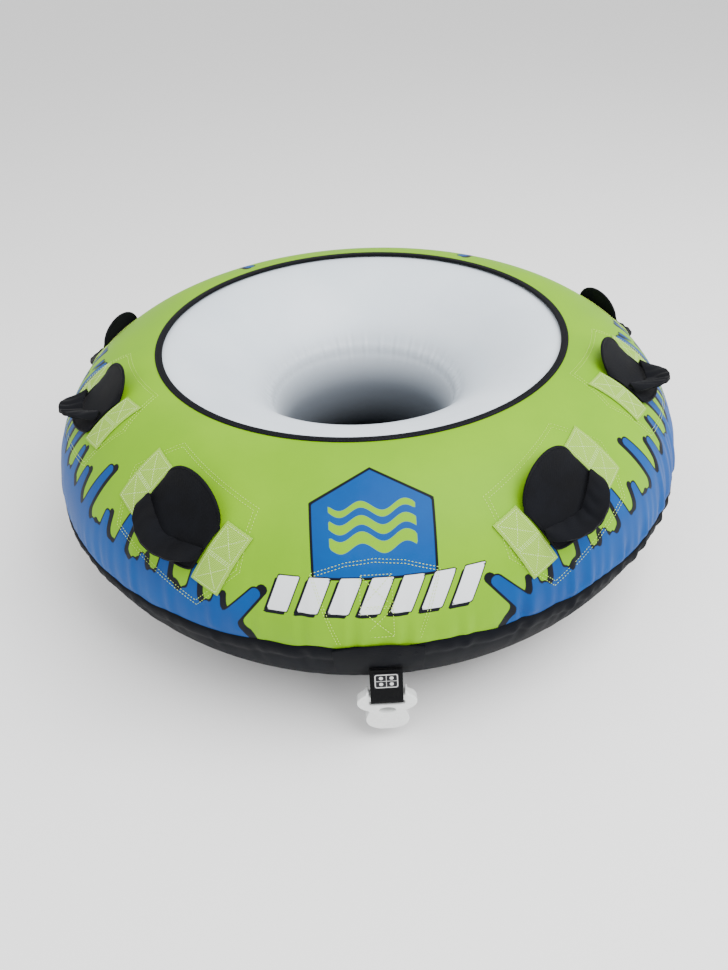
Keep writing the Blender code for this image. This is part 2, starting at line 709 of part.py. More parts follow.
def build_zip():
    middle = (ZIP_START + ZIP_END) / 2
    half = (ZIP_END - ZIP_START) / 2
    cells = 14

    def strip(width, lift):
        def place(u, v):
            return on_tube(middle + u * half, SEAM_ARC + v * width / 2, lift)

        return place

    laid("zip_tape", strip(ZIP_TAPE_WIDTH, LAID_GAP), (cells, 2), ZIP_TAPE_THICKNESS, "black_webbing")
    teeth_lift = LAID_GAP + ZIP_TAPE_THICKNESS + CLEARANCE
    laid("zip_teeth", strip(ZIP_TEETH_WIDTH, teeth_lift), (cells, 1), ZIP_TEETH_HEIGHT, "black_webbing")
    slider_lift = teeth_lift + ZIP_TEETH_HEIGHT + CLEARANCE + SLIDER_SIZE[1] / 2
    azimuth = math.radians(ZIP_START + SLIDER_INSET)
    turn = Matrix.Rotation(azimuth - math.pi / 2, 4, "Z")
    seat = turn @ Matrix.Translation((0, TUBE_RADIUS + slider_lift, SEAM_HEIGHT))
    slider = box("zip_slider", SLIDER_SIZE, seat, "grey_metal", SLIDER_ROUNDING)
    hang_on(slider, Vector((0, 0, SEAM_HEIGHT)))
    pull_lift = TUBE_RADIUS + slider_lift + SLIDER_SIZE[1] / 2 + CLEARANCE + PULL_SIZE[1] / 2
    pivot = Vector((0, pull_lift, SEAM_HEIGHT + PULL_PIVOT_RISE))
    pull_seat = turn @ Matrix.Translation(pivot - Vector((0, 0, PULL_SIZE[2] / 2)))
    hang_on(box("zip_pull", PULL_SIZE, pull_seat, "grey_metal", PULL_ROUNDING), turn @ pivot)


def main():
    valve_frame = build_valve()
    build_bladder(valve_frame)
    build_cover(valve_frame)
    build_binding()
    build_floor()
    for pair in HANDLE_PAIRS:
        for side in (-1, 1):
            build_handle(pair, side)
    build_tow_point()
    build_flap()
    build_zip()
    bpy.context.view_layer.update()


main()
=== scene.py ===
import math

import bpy
import numpy as np
from mathutils import Matrix, Vector


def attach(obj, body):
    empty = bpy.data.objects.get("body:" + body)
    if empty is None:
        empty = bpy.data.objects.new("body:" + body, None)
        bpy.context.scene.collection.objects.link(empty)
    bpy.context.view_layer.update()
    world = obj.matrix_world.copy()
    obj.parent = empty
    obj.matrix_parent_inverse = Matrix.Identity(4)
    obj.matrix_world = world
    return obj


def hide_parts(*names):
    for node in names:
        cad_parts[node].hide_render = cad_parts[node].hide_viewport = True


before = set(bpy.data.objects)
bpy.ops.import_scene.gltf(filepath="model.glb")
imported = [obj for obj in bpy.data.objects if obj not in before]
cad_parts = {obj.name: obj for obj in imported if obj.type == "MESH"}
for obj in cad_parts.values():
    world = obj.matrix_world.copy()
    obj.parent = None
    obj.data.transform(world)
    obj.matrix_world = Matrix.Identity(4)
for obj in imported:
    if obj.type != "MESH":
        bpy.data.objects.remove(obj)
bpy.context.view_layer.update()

print("frame loaded")

# the tube's section, the same four quarters as the frame's bladder and cover; metres
tube = {
    "radius": 0.589, "height": 0.430, "seam": 0.211, "hem": 0.368,
    "throat": (0.152, 0.225), "foot": 0.400, "fullness": (2.0, 1.6, 2.0, 1.75),
    "towAzimuth": -90.0,
}


def quarter(centre, half, fullness, start, end, count=160):
    turns = np.radians(np.linspace(start, end, count, endpoint=False))
    cosine, sine = np.cos(turns), np.sin(turns)
    across = centre[0] + half[0] * np.sign(cosine) * abs(cosine) ** (2 / fullness)
    up = centre[1] + half[1] * np.sign(sine) * abs(sine) ** (2 / fullness)
    return np.column_stack((across, up))


def sectionOutline():
    hem, foot, seam = tube["hem"], tube["foot"], tube["seam"]
    throatRadius, throatHeight = tube["throat"]
    full = tube["fullness"]
    top = quarter((hem, seam), (tube["radius"] - hem, tube["height"] - seam), full[0], 90, 0)
    side = quarter((foot, seam), (tube["radius"] - foot, seam), full[1], 0, -90)
    below = quarter((foot, throatHeight), (foot - throatRadius, throatHeight), full[2], -90, -180)
    rise = tube["height"] - throatHeight
    well = quarter((hem, throatHeight), (hem - throatRadius, rise), full[3], -180, -270)
    return np.vstack((top, side, below, well, top[:1])), len(top)


outline, perQuarter = sectionOutline()
arc = np.concatenate(([0.0], np.cumsum(np.linalg.norm(np.diff(outline, axis=0), axis=1))))
tangents = np.gradient(outline, arc, axis=0)
seamArc, footArc, roundArc = arc[perQuarter], arc[2 * perQuarter], arc[-1]


def sectionAt(distance, lift=0.0):
    at = np.asarray(distance, float) % roundArc
    across, up = np.interp(at, arc, outline[:, 0]), np.interp(at, arc, outline[:, 1])
    along, down = np.interp(at, arc, tangents[:, 0]), np.interp(at, arc, tangents[:, 1])
    size = np.hypot(along, down)
    return across - down / size * lift, up + along / size * lift


def onTube(azimuth, distance, lift=0.0):
    radius, height = sectionAt(distance, lift)
    turn = np.radians(azimuth)
    return np.stack((radius * np.cos(turn), radius * np.sin(turn), height + 0 * turn), -1)


# helpers for meshes
def deselect():
    for obj in bpy.context.selected_objects:
        obj.select_set(False)


def only(obj):
    deselect()
    obj.select_set(True)
    bpy.context.view_layer.objects.active = obj
    return obj


def linkObject(name, data):
    obj = bpy.data.objects.new(name, data)
    bpy.context.scene.collection.objects.link(obj)
    return obj


def coords(obj):
    found = np.empty(len(obj.data.vertices) * 3, np.float32)
    obj.data.vertices.foreach_get("co", found)
    return found.reshape(-1, 3).astype(float)


def setCoords(obj, points):
    obj.data.vertices.foreach_set("co", np.asarray(points, np.float32).ravel())
    obj.data.update()


def addValues(obj, name, values):
    attribute = obj.data.attributes.new(name, "FLOAT", "POINT")
    attribute.data.foreach_set("value", np.asarray(values, np.float32))


def grid(name, columns, rows):
    deselect()
    bpy.ops.mesh.primitive_grid_add(x_subdivisions=columns, y_subdivisions=rows, size=2)
    obj = bpy.context.active_object
    obj.name = name
    obj.data.name = name
    return obj


def closeRing(obj):
    only(obj)
    bpy.ops.object.mode_set(mode="EDIT")
    bpy.ops.mesh.select_all(action="SELECT")
    bpy.ops.mesh.remove_doubles(threshold=0.00002)
    bpy.ops.object.mode_set(mode="OBJECT")


def faceAlong(obj, outward):
    # turns the whole sheet over where its faces look away from outward(points)
    mesh = obj.data
    normals = np.empty(len(mesh.polygons) * 3, np.float32)
    centres = np.empty(len(mesh.polygons) * 3, np.float32)
    mesh.polygons.foreach_get("normal", normals)
    mesh.polygons.foreach_get("center", centres)
    normals, centres = normals.reshape(-1, 3), centres.reshape(-1, 3)
    if (normals * outward(centres)).sum() < 0:
        mesh.flip_normals()


def awayFromTube(points):
    radial = points[:, :2] / np.linalg.norm(points[:, :2], axis=1)[:, None]
    middle = np.column_stack((radial * tube["hem"], np.full(len(points), tube["seam"])))
    return points - middle


def applied(obj, kind, **settings):
    only(obj)
    modifier = obj.modifiers.new(kind.lower(), kind)
    for key, value in settings.items():
        setattr(modifier, key, value)
    bpy.ops.object.modifier_apply(modifier=modifier.name)
    return obj


def thicken(obj, thickness, offset=-1.0):
    return applied(obj, "SOLIDIFY", thickness=thickness, offset=offset, use_even_offset=True)


def roundEdges(obj, width, segments):
    sharp = math.radians(50)
    return applied(obj, "BEVEL", width=width, segments=segments, limit_method="ANGLE", angle_limit=sharp)


def smooth(obj, degrees=40):
    only(obj)
    bpy.ops.object.shade_smooth_by_angle(angle=math.radians(degrees))
    return obj


def spun(name, profile, steps=192, closed=False):
    # a profile of (radius, height) points turned once round Z, in edit mode
    deselect()
    mesh = bpy.data.meshes.new(name)
    obj = linkObject(name, mesh)
    count = len(profile)
    edges = [(i, (i + 1) % count) for i in range(count if closed else count - 1)]
    mesh.from_pydata([(r, 0, z) for r, z in profile], edges, [])
    only(obj)
    bpy.ops.object.mode_set(mode="EDIT")
    bpy.ops.mesh.select_all(action="SELECT")
    bpy.ops.mesh.spin(steps=steps, angle=2 * math.pi, center=(0, 0, 0), axis=(0, 0, 1))
    bpy.ops.mesh.select_all(action="SELECT")
    bpy.ops.mesh.remove_doubles(threshold=0.00002)
    bpy.ops.mesh.normals_make_consistent(inside=False)
    bpy.ops.object.mode_set(mode="OBJECT")
    return obj


def finishPiece(obj, body, material, slot, *nodes):
    obj.data.materials.clear()
    obj.data.materials.append(material)
    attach(obj, body)
    if nodes:
        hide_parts(*nodes)
    return obj


# shader helpers
def newMaterial(name, roughness, metallic=0.0, sheen=0.0, coat=0.0, specular=0.1):
    material = bpy.data.materials.new(name)
    material.use_nodes = True
    shader = material.node_tree.nodes["Principled BSDF"]
    shader.inputs["Roughness"].default_value = roughness
    shader.inputs["Metallic"].default_value = metallic
    shader.inputs["Sheen Weight"].default_value = sheen
    shader.inputs["Sheen Roughness"].default_value = 0.4
    shader.inputs["Coat Weight"].default_value = coat
    shader.inputs["Specular IOR Level"].default_value = specular
    return material, material.node_tree, shader


def addNode(tree, kind, **inputs):
    node = tree.nodes.new(kind)
    for key, value in inputs.items():
        node.inputs[key.replace("_", " ")].default_value = value
    return node


def mathNode(tree, operation, first, second=None):
    node = tree.nodes.new("ShaderNodeMath")
    node.operation = operation
    for index, value in enumerate((first, second)):
        if value is None:
            continue
        if isinstance(value, (int, float)):
            node.inputs[index].default_value = value
        else:
            tree.links.new(value, node.inputs[index])
    return node.outputs[0]


def ramp(tree, value, low, high):
    # 0 below low and 1 above high
    node = tree.nodes.new("ShaderNodeMapRange")
    node.interpolation_type = "SMOOTHSTEP"
    tree.links.new(value, node.inputs["Value"])
    node.inputs["From Min"].default_value = low
    node.inputs["From Max"].default_value = high
    return node.outputs["Result"]


def mixColours(tree, share, first, second):
    node = tree.nodes.new("ShaderNodeMix")
    node.data_type = "RGBA"
    tree.links.new(share, node.inputs["Factor"])
    for socket, value in ((node.inputs[6], first), (node.inputs[7], second)):
        if isinstance(value, tuple):
            socket.default_value = (*value, 1)
        else:
            tree.links.new(value, socket)
    return node.outputs[2]


def attributeValue(tree, name):
    node = tree.nodes.new("ShaderNodeAttribute")
    node.attribute_name = name
    return node.outputs["Fac"]


def newGroup(name, inputs, outputs):
    group = bpy.data.node_groups.new(name, "ShaderNodeTree")
    for label, kind, value in inputs:
        made = group.interface.new_socket(name=label, in_out="INPUT", socket_type=kind)
        if value is not None:
            made.default_value = value
    for label, kind in outputs:
        group.interface.new_socket(name=label, in_out="OUTPUT", socket_type=kind)
    return group, group.nodes.new("NodeGroupInput"), group.nodes.new("NodeGroupOutput")


def useGroup(tree, group, **values):
    node = tree.nodes.new("ShaderNodeGroup")
    node.node_tree = group
    for key, value in values.items():
        node.inputs[key].default_value = value
    return node


def makeWeave():
    # crossed threads on Object coordinates, with a slow unevenness over them
    group, given, out = newGroup("plain_weave", [("Threads", "NodeSocketFloat", 1400.0),
                                 ("Unevenness", "NodeSocketFloat", 14.0)],
                                 [("Height", "NodeSocketFloat"), ("Cloudiness", "NodeSocketFloat")])
    links = group.links
    place = group.nodes.new("ShaderNodeTexCoord")
    split = group.nodes.new("ShaderNodeSeparateXYZ")
    links.new(place.outputs["Object"], split.inputs[0])
    waves = []
    for first, second in (("X", "Y"), ("Z", "X")):
        both = mathNode(group, "ADD", split.outputs[first], split.outputs[second])
        scaled = mathNode(group, "MULTIPLY", both, given.outputs["Threads"])
        waves.append(mathNode(group, "SINE", scaled))
    crossed = mathNode(group, "MULTIPLY", waves[0], waves[1])
    clouds = addNode(group, "ShaderNodeTexNoise", Detail=4.0, Roughness=0.55)
    links.new(place.outputs["Object"], clouds.inputs["Vector"])
    links.new(given.outputs["Unevenness"], clouds.inputs["Scale"])
    links.new(crossed, out.inputs["Height"])
    links.new(clouds.outputs["Fac"], out.inputs["Cloudiness"])
    return group


def makeRibs():
    # webbing: ribs across the strap on its own UV map, metres
    group, given, out = newGroup("webbing_ribs", [("Ribs", "NodeSocketFloat", 3000.0),
                                 ("Herringbone", "NodeSocketFloat", 0.35)],
                                 [("Height", "NodeSocketFloat"), ("Shade", "NodeSocketFloat")])
    links = group.links
    place = group.nodes.new("ShaderNodeTexCoord")
    split = group.nodes.new("ShaderNodeSeparateXYZ")
    links.new(place.outputs["UV"], split.inputs[0])
    bent = mathNode(group, "PINGPONG", split.outputs["X"], 0.004)
    leaning = mathNode(group, "MULTIPLY", bent, given.outputs["Herringbone"])
    along = mathNode(group, "ADD", split.outputs["Y"], leaning)
    scaled = mathNode(group, "MULTIPLY", along, given.outputs["Ribs"])
    wave = mathNode(group, "SINE", scaled)
    across = mathNode(group, "SINE", mathNode(group, "MULTIPLY", split.outputs["X"], given.outputs["Ribs"]))
    both = mathNode(group, "ADD", wave, mathNode(group, "MULTIPLY", across, 0.4))
    links.new(both, out.inputs["Height"])
    # painted shade: the Shade output darkens the strap's colour in the grooves between ribs and pales it on
    # their crests
    links.new(ramp(group, both, -1.2, 1.2), out.inputs["Shade"])
    return group


weave = makeWeave()
ribs = makeRibs()


def bumpFrom(tree, shader, height, strength, distance):
    bump = addNode(tree, "ShaderNodeBump", Strength=strength, Distance=distance)
    tree.links.new(height, bump.inputs["Height"])
    tree.links.new(bump.outputs["Normal"], shader.inputs["Normal"])
    return bump


def clothMaterial(name, dark, pale, roughness, threads=1400.0, sheen=0.0, strength=0.25, clouds=14.0):
    material, tree, shader = newMaterial(name, roughness, sheen=sheen)
    cloth = useGroup(tree, weave, Threads=threads, Unevenness=clouds)
    share = ramp(tree, cloth.outputs["Cloudiness"], 0.3, 0.7)
    tree.links.new(mixColours(tree, share, dark, pale), shader.inputs["Base Color"])
    rough = mathNode(tree, "ADD", mathNode(tree, "MULTIPLY", share, 0.12), roughness - 0.06)
    tree.links.new(rough, shader.inputs["Roughness"])
    bumpFrom(tree, shader, cloth.outputs["Height"], strength, 0.0004)
    return material


def webbingMaterial(name, dark, pale, roughness=0.75, count=3000.0):
    material, tree, shader = newMaterial(name, roughness)
    strap = useGroup(tree, ribs, Ribs=count)
    # painted shade in the rib grooves, from the ribs' Shade output
    tree.links.new(mixColours(tree, strap.outputs["Shade"], dark, pale), shader.inputs["Base Color"])
    bumpFrom(tree, shader, strap.outputs["Height"], 0.5, 0.0005)
    return material


def plasticMaterial(name, colour, roughness, mottle=0.06, metallic=0.0, coat=0.0):
    material, tree, shader = newMaterial(name, roughness, metallic, coat=coat, specular=0.5)
    cloth = useGroup(tree, weave, Threads=200.0, Unevenness=60.0)
    share = ramp(tree, cloth.outputs["Cloudiness"], 0.3, 0.7)
    dim = tuple(c * (1 - mottle) for c in colour)
    tree.links.new(mixColours(tree, share, dim, colour), shader.inputs["Base Color"])
    rough = mathNode(tree, "ADD", mathNode(tree, "MULTIPLY", share, 0.1), roughness - 0.05)
    tree.links.new(rough, shader.inputs["Roughness"])
    bumpFrom(tree, shader, cloth.outputs["Cloudiness"], 0.08, 0.001)
    return material


# the valve: degrees, distance from the hem, and the radii of the holes in the two layers
valve = {"azimuth": 90.0, "distance": 0.235, "coverHole": 0.036, "bladderHole": 0.013, "flap": (0.100, 0.096),
         "dome": 0.0062, "flatness": 1.8, "flapThickness": 0.0014}


def roundHole(azimuth, distance, radius, cell):
    # pulls the grid's nearest points onto the hole's edge, and says which points lie inside it
    width = float(sectionAt(valve["distance"])[0])
    p = np.radians((azimuth - valve["azimuth"] + 180) % 360 - 180) * width
    q = distance - valve["distance"]
    away = np.hypot(p, q)
    grow = np.where(abs(away - radius) < cell, radius / np.maximum(away, 1e-6) - 1, 0)
    return azimuth + np.degrees(p * grow / width), distance + q * grow, away < radius - cell


def removePoints(obj, inside):
    only(obj)
    obj.data.polygons.foreach_set("select", np.zeros(len(obj.data.polygons), bool))
    obj.data.edges.foreach_set("select", np.zeros(len(obj.data.edges), bool))
    obj.data.vertices.foreach_set("select", inside)
    bpy.ops.object.mode_set(mode="EDIT")
    bpy.ops.mesh.select_mode(type="VERT")
    bpy.ops.mesh.delete(type="VERT")
    bpy.ops.object.mode_set(mode="OBJECT")


# the printed top cover
print("top cover")
cover = {
    "columns": 840, "rows": 84, "drop": 0.0002,
    "lime": (0.160, 0.370, 0.0), "limePale": (0.188, 0.415, 0.0),
    "blue": (0.0, 0.050, 0.220), "bluePale": (0.0, 0.066, 0.270),
    "ink": (0.002, 0.003, 0.006), "white": (0.74, 0.77, 0.80),
    "outline": 0.0026, "shadow": (0.0105, -0.0075),
    # degrees from the tow line, distance from the hem and radius, at the tip and at the root
    "fingers": [
        (17.6, 0.262, 0.0085, 23.0, 0.318, 0.0130), (23.6, 0.279, 0.0050, 24.5, 0.320, 0.0120),
        (27.4, 0.243, 0.0045, 28.2, 0.300, 0.0110), (33.0, 0.236, 0.0075, 34.0, 0.290, 0.0120),
        (37.8, 0.262, 0.0055, 38.5, 0.300, 0.0120), (41.5, 0.210, 0.0070, 44.0, 0.275, 0.0130),
        (47.8, 0.232, 0.0060, 48.6, 0.280, 0.0130), (51.8, 0.172, 0.0075, 55.0, 0.250, 0.0110),
        (58.2, 0.205, 0.0070, 59.4, 0.262, 0.0140), (63.0, 0.188, 0.0062, 63.8, 0.250, 0.0120),
        (66.4, 0.112, 0.0110, 69.6, 0.240, 0.0060), (73.2, 0.176, 0.0070, 73.8, 0.245, 0.0130),
        (76.8, 0.128, 0.0065, 77.8, 0.235, 0.0085), (81.6, 0.190, 0.0065, 82.0, 0.250, 0.0130),
        (85.8, 0.120, 0.0100, 86.0, 0.238, 0.0070), (91.0, 0.180, 0.0070, 91.0, 0.250, 0.0130),
        (95.6, 0.142, 0.0075, 94.8, 0.240, 0.0100), (101.0, 0.200, 0.0070, 100.4, 0.262, 0.0140),
        (106.0, 0.156, 0.0080, 105.0, 0.255, 0.0110), (112.0, 0.215, 0.0070, 111.0, 0.270, 0.0140),
        (117.4, 0.168, 0.0085, 116.0, 0.262, 0.0100), (123.0, 0.220, 0.0065, 122.0, 0.280, 0.0130),
        (128.6, 0.178, 0.0080, 127.0, 0.272, 0.0110), (134.4, 0.226, 0.0065, 133.0, 0.285, 0.0130),
        (139.0, 0.196, 0.0070, 137.6, 0.290, 0.0100), (145.2, 0.250, 0.0080, 141.6, 0.312, 0.0120),
    ],
    # drops: degrees from the tow line, from and to distance from the hem, radius
    "drops": [(70.6, 0.138, 0.166, 0.0062), (80.0, 0.142, 0.158, 0.0050), (89.0, 0.128, 0.150, 0.0055),
              (98.6, 0.152, 0.172, 0.0050), (110.2, 0.168, 0.186, 0.0056), (125.8, 0.150, 0.176, 0.0058),
              (146.0, 0.052, 0.092, 0.0100), (152.5, 0.090, 0.112, 0.0065)],
    "band": [(18.5, 0.345), (20.5, 0.318), (24.0, 0.300), (30.0, 0.286), (38.0, 0.280), (48.0, 0.268),
             (58.0, 0.252), (68.0, 0.240), (84.0, 0.236), (100.0, 0.248), (116.0, 0.258), (130.0, 0.270),
             (140.0, 0.296), (144.0, 0.322), (146.5, 0.345)],
    "badge": {"half": 0.086, "apex": 0.068, "shoulder": 0.125, "foot": 0.228, "outline": 0.0040},
    "bars": {"count": 7, "pitch": 0.0445, "half": (0.0150, 0.0270), "middle": 0.256, "slant": 0.42},
}


def smoothUnion(first, second, blend):
    share = np.clip(0.5 + 0.5 * (second - first) / blend, 0, 1)
    return second + (first - second) * share - blend * share * (1 - share)


def capsule(x, y, start, end, startRadius, endRadius):
    along = np.array(end) - np.array(start)
    t = np.clip(((x - start[0]) * along[0] + (y - start[1]) * along[1]) / (along @ along), 0, 1)
    away = np.hypot(x - start[0] - t * along[0], y - start[1] - t * along[1])
    return away - (startRadius + (endRadius - startRadius) * t)


def splashDistance(fromTow, distance):
    # metres to the print's edge, negative inside; both halves are alike
    reach = abs(fromTow)
    width = sectionAt(distance)[0]

    def placed(degrees):
        return math.radians(degrees) * width

    x = np.radians(reach) * width
    bandX, bandY = zip(*cover["band"])
    edge = np.interp(reach, bandX, bandY) + 0.0035 * np.sin(reach * 1.7) + 0.003 * np.sin(reach * 3.1 + 1)
    found = np.where((reach > bandX[0]) & (reach < bandX[-1]), edge - distance, 0.05) * 0.9
    for tip, tipAt, tipRadius, root, rootAt, rootRadius in cover["fingers"]:
        start = (0.0, tipAt)
        lean = math.radians(root - tip) * 0.5
        finger = capsule(x - placed(tip), distance, start, (lean, rootAt), tipRadius, rootRadius)
        found = smoothUnion(found, finger, 0.012)
    for degrees, top, bottom, radius in cover["drops"]:
        drop = capsule(x - placed(degrees), distance, (0, top), (0.001, bottom), radius, radius * 0.5)
        found = np.minimum(found, drop)
    return found


def badgeDistance(x, distance):
    badge = cover["badge"]
    fall = badge["shoulder"] - badge["apex"]
    size = math.hypot(fall, badge["half"])
    roof = (abs(x) * fall - (distance - badge["apex"]) * badge["half"]) / size
    return np.maximum(np.maximum(abs(x) - badge["half"], distance - badge["foot"]), roof)


def waveDistance(x, distance):
    found = np.full(x.shape, 0.05)
    for middle, half in ((0.131, 0.0050), (0.154, 0.0068), (0.179, 0.0085)):
        crest = middle + 0.0075 * np.sin(x * 2 * math.pi / 0.062)
        found = np.minimum(found, np.maximum(abs(distance - crest) - half, abs(x) - 0.062))
    return found


def barDistance(x, distance):
    bars = cover["bars"]
    leaned = x + (distance - bars["middle"]) * bars["slant"]
    nearest = np.round(leaned / bars["pitch"])
    nearest = np.clip(nearest, -(bars["count"] // 2), bars["count"] // 2)
    across = abs(leaned - nearest * bars["pitch"]) - bars["half"][0]
    return np.maximum(across, abs(distance - bars["middle"]) - bars["half"][1])


def gathers(azimuth, distance, seam):
    # pleats that the seam's gathering pulls into both cloths: deep at the seam, gone 90 mm away
    turn = np.radians(azimuth)
    away = abs(distance - seam)
    reach = 0.055 + 0.035 * np.sin(turn * 7 + 1.3) * np.sin(turn * 3)
    fade = np.exp(-(away / reach) ** 1.4)
    strong = 0.45 + 0.75 * np.clip(np.cos(turn + 0.85), -0.2, 1) ** 3
    fade = fade * (1 - np.exp(-(away / 0.008) ** 2))
    fold = 0.0
    for count, phase, share in ((97, 0.3, 1.0), (141, 1.9, 0.7), (61, 4.0, 0.6), (188, 2.4, 0.4)):
        fold = fold + share * np.sin(count * turn + phase + 1.4 * np.sin(turn * 5 + phase))
    return fold * fade * strong


def buildTopCover():
    obj = grid("top_cover", cover["columns"], cover["rows"])
    place = coords(obj)
    azimuth = place[:, 0] * 180 - 90
    share = (place[:, 1] + 1) / 2
    notch = 0.0022 * np.sin(np.radians(azimuth) * 37 + 2 * np.sin(np.radians(azimuth) * 11))
    distance = share * (seamArc - 0.0005 + notch * share ** 8 - 0.002 * share ** 8)
    azimuth, distance, gone = roundHole(azimuth, distance, valve["coverHole"], 0.0024)
    lift = 0.0021 * gathers(azimuth, distance, seamArc) - cover["drop"]
    lift = lift - 0.0012 * np.exp(-((distance - seamArc) / 0.006) ** 2)
    edge = np.exp(-(distance / 0.004) ** 2)
    setCoords(obj, onTube(azimuth, distance, lift * (1 - edge) - cover["drop"] * edge))
    width = sectionAt(distance)[0]
    fromTow = azimuth - tube["towAzimuth"]
    fromTow = (fromTow + 180) % 360 - 180
    x = np.radians(fromTow) * width
    shiftX, shiftY = cover["shadow"]
    towards = np.sign(fromTow) * np.degrees(shiftX / width)
    addValues(obj, "splash", splashDistance(fromTow, distance))
    addValues(obj, "splashShadow", splashDistance(fromTow + towards, distance - shiftY))
    addValues(obj, "badge", badgeDistance(x, distance))
    addValues(obj, "waves", waveDistance(x, distance))
    addValues(obj, "bars", barDistance(x, distance))
    addValues(obj, "barShadow", barDistance(x + 0.005, distance - 0.005))
    removePoints(obj, gone)
    closeRing(obj)
    faceAlong(obj, awayFromTube)
    return smooth(obj, 60)


def printedMaterial():
    material, tree, shader = newMaterial("printed_nylon", 0.5, specular=0.12)
    cloth = useGroup(tree, weave, Threads=2200.0, Unevenness=6.0)
    clouds = ramp(tree, cloth.outputs["Cloudiness"], 0.3, 0.7)
    lime = mixColours(tree, clouds, cover["lime"], cover["limePale"])
    blue = mixColours(tree, clouds, cover["blue"], cover["bluePale"])
    soft = 0.0006

    def inside(name, grow=0.0):
        outside = ramp(tree, attributeValue(tree, name), grow - soft, grow + soft)
        return mathNode(tree, "SUBTRACT", 1.0, outside)

    colour = lime
    for name, grow, ink in (
        ("badge", cover["badge"]["outline"], cover["ink"]), ("badge", 0.0, blue), ("waves", 0.0, lime),
        ("splashShadow", 0.0, cover["ink"]), ("splash", cover["outline"], cover["ink"]),
        ("splash", 0.0, blue), ("barShadow", 0.001, cover["ink"]), ("bars", 0.0018, cover["ink"]),
        ("bars", 0.0, cover["white"]),
    ):
        colour = mixColours(tree, inside(name, grow), colour, ink)
    tree.links.new(colour, shader.inputs["Base Color"])
    rough = mathNode(tree, "ADD", mathNode(tree, "MULTIPLY", clouds, 0.1), 0.46)
    tree.links.new(rough, shader.inputs["Roughness"])
    bumpFrom(tree, shader, cloth.outputs["Height"], 0.12, 0.0003)
    return material


topCover = buildTopCover()
finishPiece(topCover, "tube", printedMaterial(), "printed_nylon", "cover_top")

# black skirt below the seam
print("skirt")
skirt = {"columns": 840, "rows": 66, "puff": 0.0034, "reach": 0.034, "tuck": 0.0042, "footGap": 0.004}


def buildSkirt():
    obj = grid("lower_skirt", skirt["columns"], skirt["rows"])
    place = coords(obj)
    azimuth = place[:, 0] * 180 - 90
    turn = np.radians(azimuth)
    share = (place[:, 1] + 1) / 2
    notch = 0.0022 * np.sin(turn * 37 + 2 * np.sin(turn * 11))
    start = seamArc + notch - skirt["tuck"]
    distance = start + share * (footArc - skirt["footGap"] - start)
    away = distance - start
    puff = skirt["puff"] * np.sin(np.clip(away / skirt["reach"], 0, 1) * math.pi) ** 0.8
    bulge = 1 + 0.16 * np.sin(23 * turn) + 0.12 * np.sin(41 * turn + 1)
    end = np.clip((footArc - skirt["footGap"] - distance) / 0.03, 0, 1)
    lift = (puff * bulge + 0.0016 * gathers(azimuth, distance, seamArc)) * end - 0.0008
    lift = lift - 0.0026 * np.exp(-(away / 0.0025) ** 2)
    setCoords(obj, onTube(azimuth, distance, lift))
    closeRing(obj)
    faceAlong(obj, awayFromTube)
    return smooth(obj, 60)


blackNylon = clothMaterial("black_nylon", (0.0008, 0.0013, 0.0028), (0.0022, 0.0030, 0.0056), 0.72,
                           clouds=9.0)
lowerSkirt = buildSkirt()
finishPiece(lowerSkirt, "tube", blackNylon, "black_nylon", "cover_skirt")

# inflated bladder
print("bladder")
bladder = {"columns": 400, "rows": 150, "drop": 0.0064,
           "weldRadius": 0.176, "weldWidth": 0.0050, "weldRise": 0.0026}


def buildBladder():
    obj = grid("bladder_skin", bladder["columns"], bladder["rows"])
    place = coords(obj)
    azimuth, distance = place[:, 0] * 180, (place[:, 1] + 1) / 2 * roundArc
    azimuth, distance, gone = roundHole(azimuth, distance, valve["bladderHole"], 0.0042)
    wellStart = arc[3 * perQuarter]
    well = np.linspace(wellStart, roundArc, 400)
    weldArc = well[np.argmin(abs(sectionAt(well)[0] - bladder["weldRadius"]))]
    turn = np.radians(azimuth)
    off = (distance - weldArc) / bladder["weldWidth"]
    lift = bladder["weldRise"] * (np.exp(-off ** 2) - 0.6 * np.exp(-((abs(off) - 2.1) / 0.8) ** 2))
    pucker = 0.0007 * np.exp(-((distance - weldArc) / 0.020) ** 2)
    pucker = pucker * (np.sin(67 * turn) + 0.7 * np.sin(103 * turn + 2) + 0.5 * np.sin(29 * turn + 1))
    setCoords(obj, onTube(azimuth, distance, lift + pucker - bladder["drop"]))
    # painted shade: this share falls from 1 high on the bladder to 0 low in the well, so the colour darkens
    # where little light reaches
    depth = np.clip((coords(obj)[:, 2] - 0.20) / 0.21, 0, 1)
    addValues(obj, "well_painted_shade", np.where(distance > arc[2 * perQuarter], depth, 1.0))
    removePoints(obj, gone)
    closeRing(obj)
    faceAlong(obj, awayFromTube)
    return smooth(obj, 60)


def filmMaterial():
    material, tree, shader = newMaterial("white_pvc", 0.38, coat=0.12, specular=0.4)
    film = useGroup(tree, weave, Threads=90.0, Unevenness=5.0)
    share = ramp(tree, film.outputs["Cloudiness"], 0.3, 0.7)
    colour = mixColours(tree, share, (0.64, 0.71, 0.78), (0.70, 0.765, 0.83))
    # painted shade: the bladder's colour darkens to grey-blue towards the bottom of the well, standing in for
    # the shade there
    well_painted_shade = ramp(tree, attributeValue(tree, "well_painted_shade"), 0.0, 0.75)
    tree.links.new(mixColours(tree, well_painted_shade, (0.17, 0.19, 0.22), colour), shader.inputs["Base Color"])
    rough = mathNode(tree, "ADD", mathNode(tree, "MULTIPLY", share, 0.12), 0.34)
    tree.links.new(rough, shader.inputs["Roughness"])
    bumpFrom(tree, shader, film.outputs["Cloudiness"], 0.15, 0.004)
    return material


finishPiece(buildBladder(), "tube", filmMaterial(), "white_pvc", "bladder")

# binding on the cover's mouth
print("binding")
binding = {"edge": 0.003, "width": 0.013, "ply": 0.0014, "under": 0.0026, "stitchAt": 0.0072}


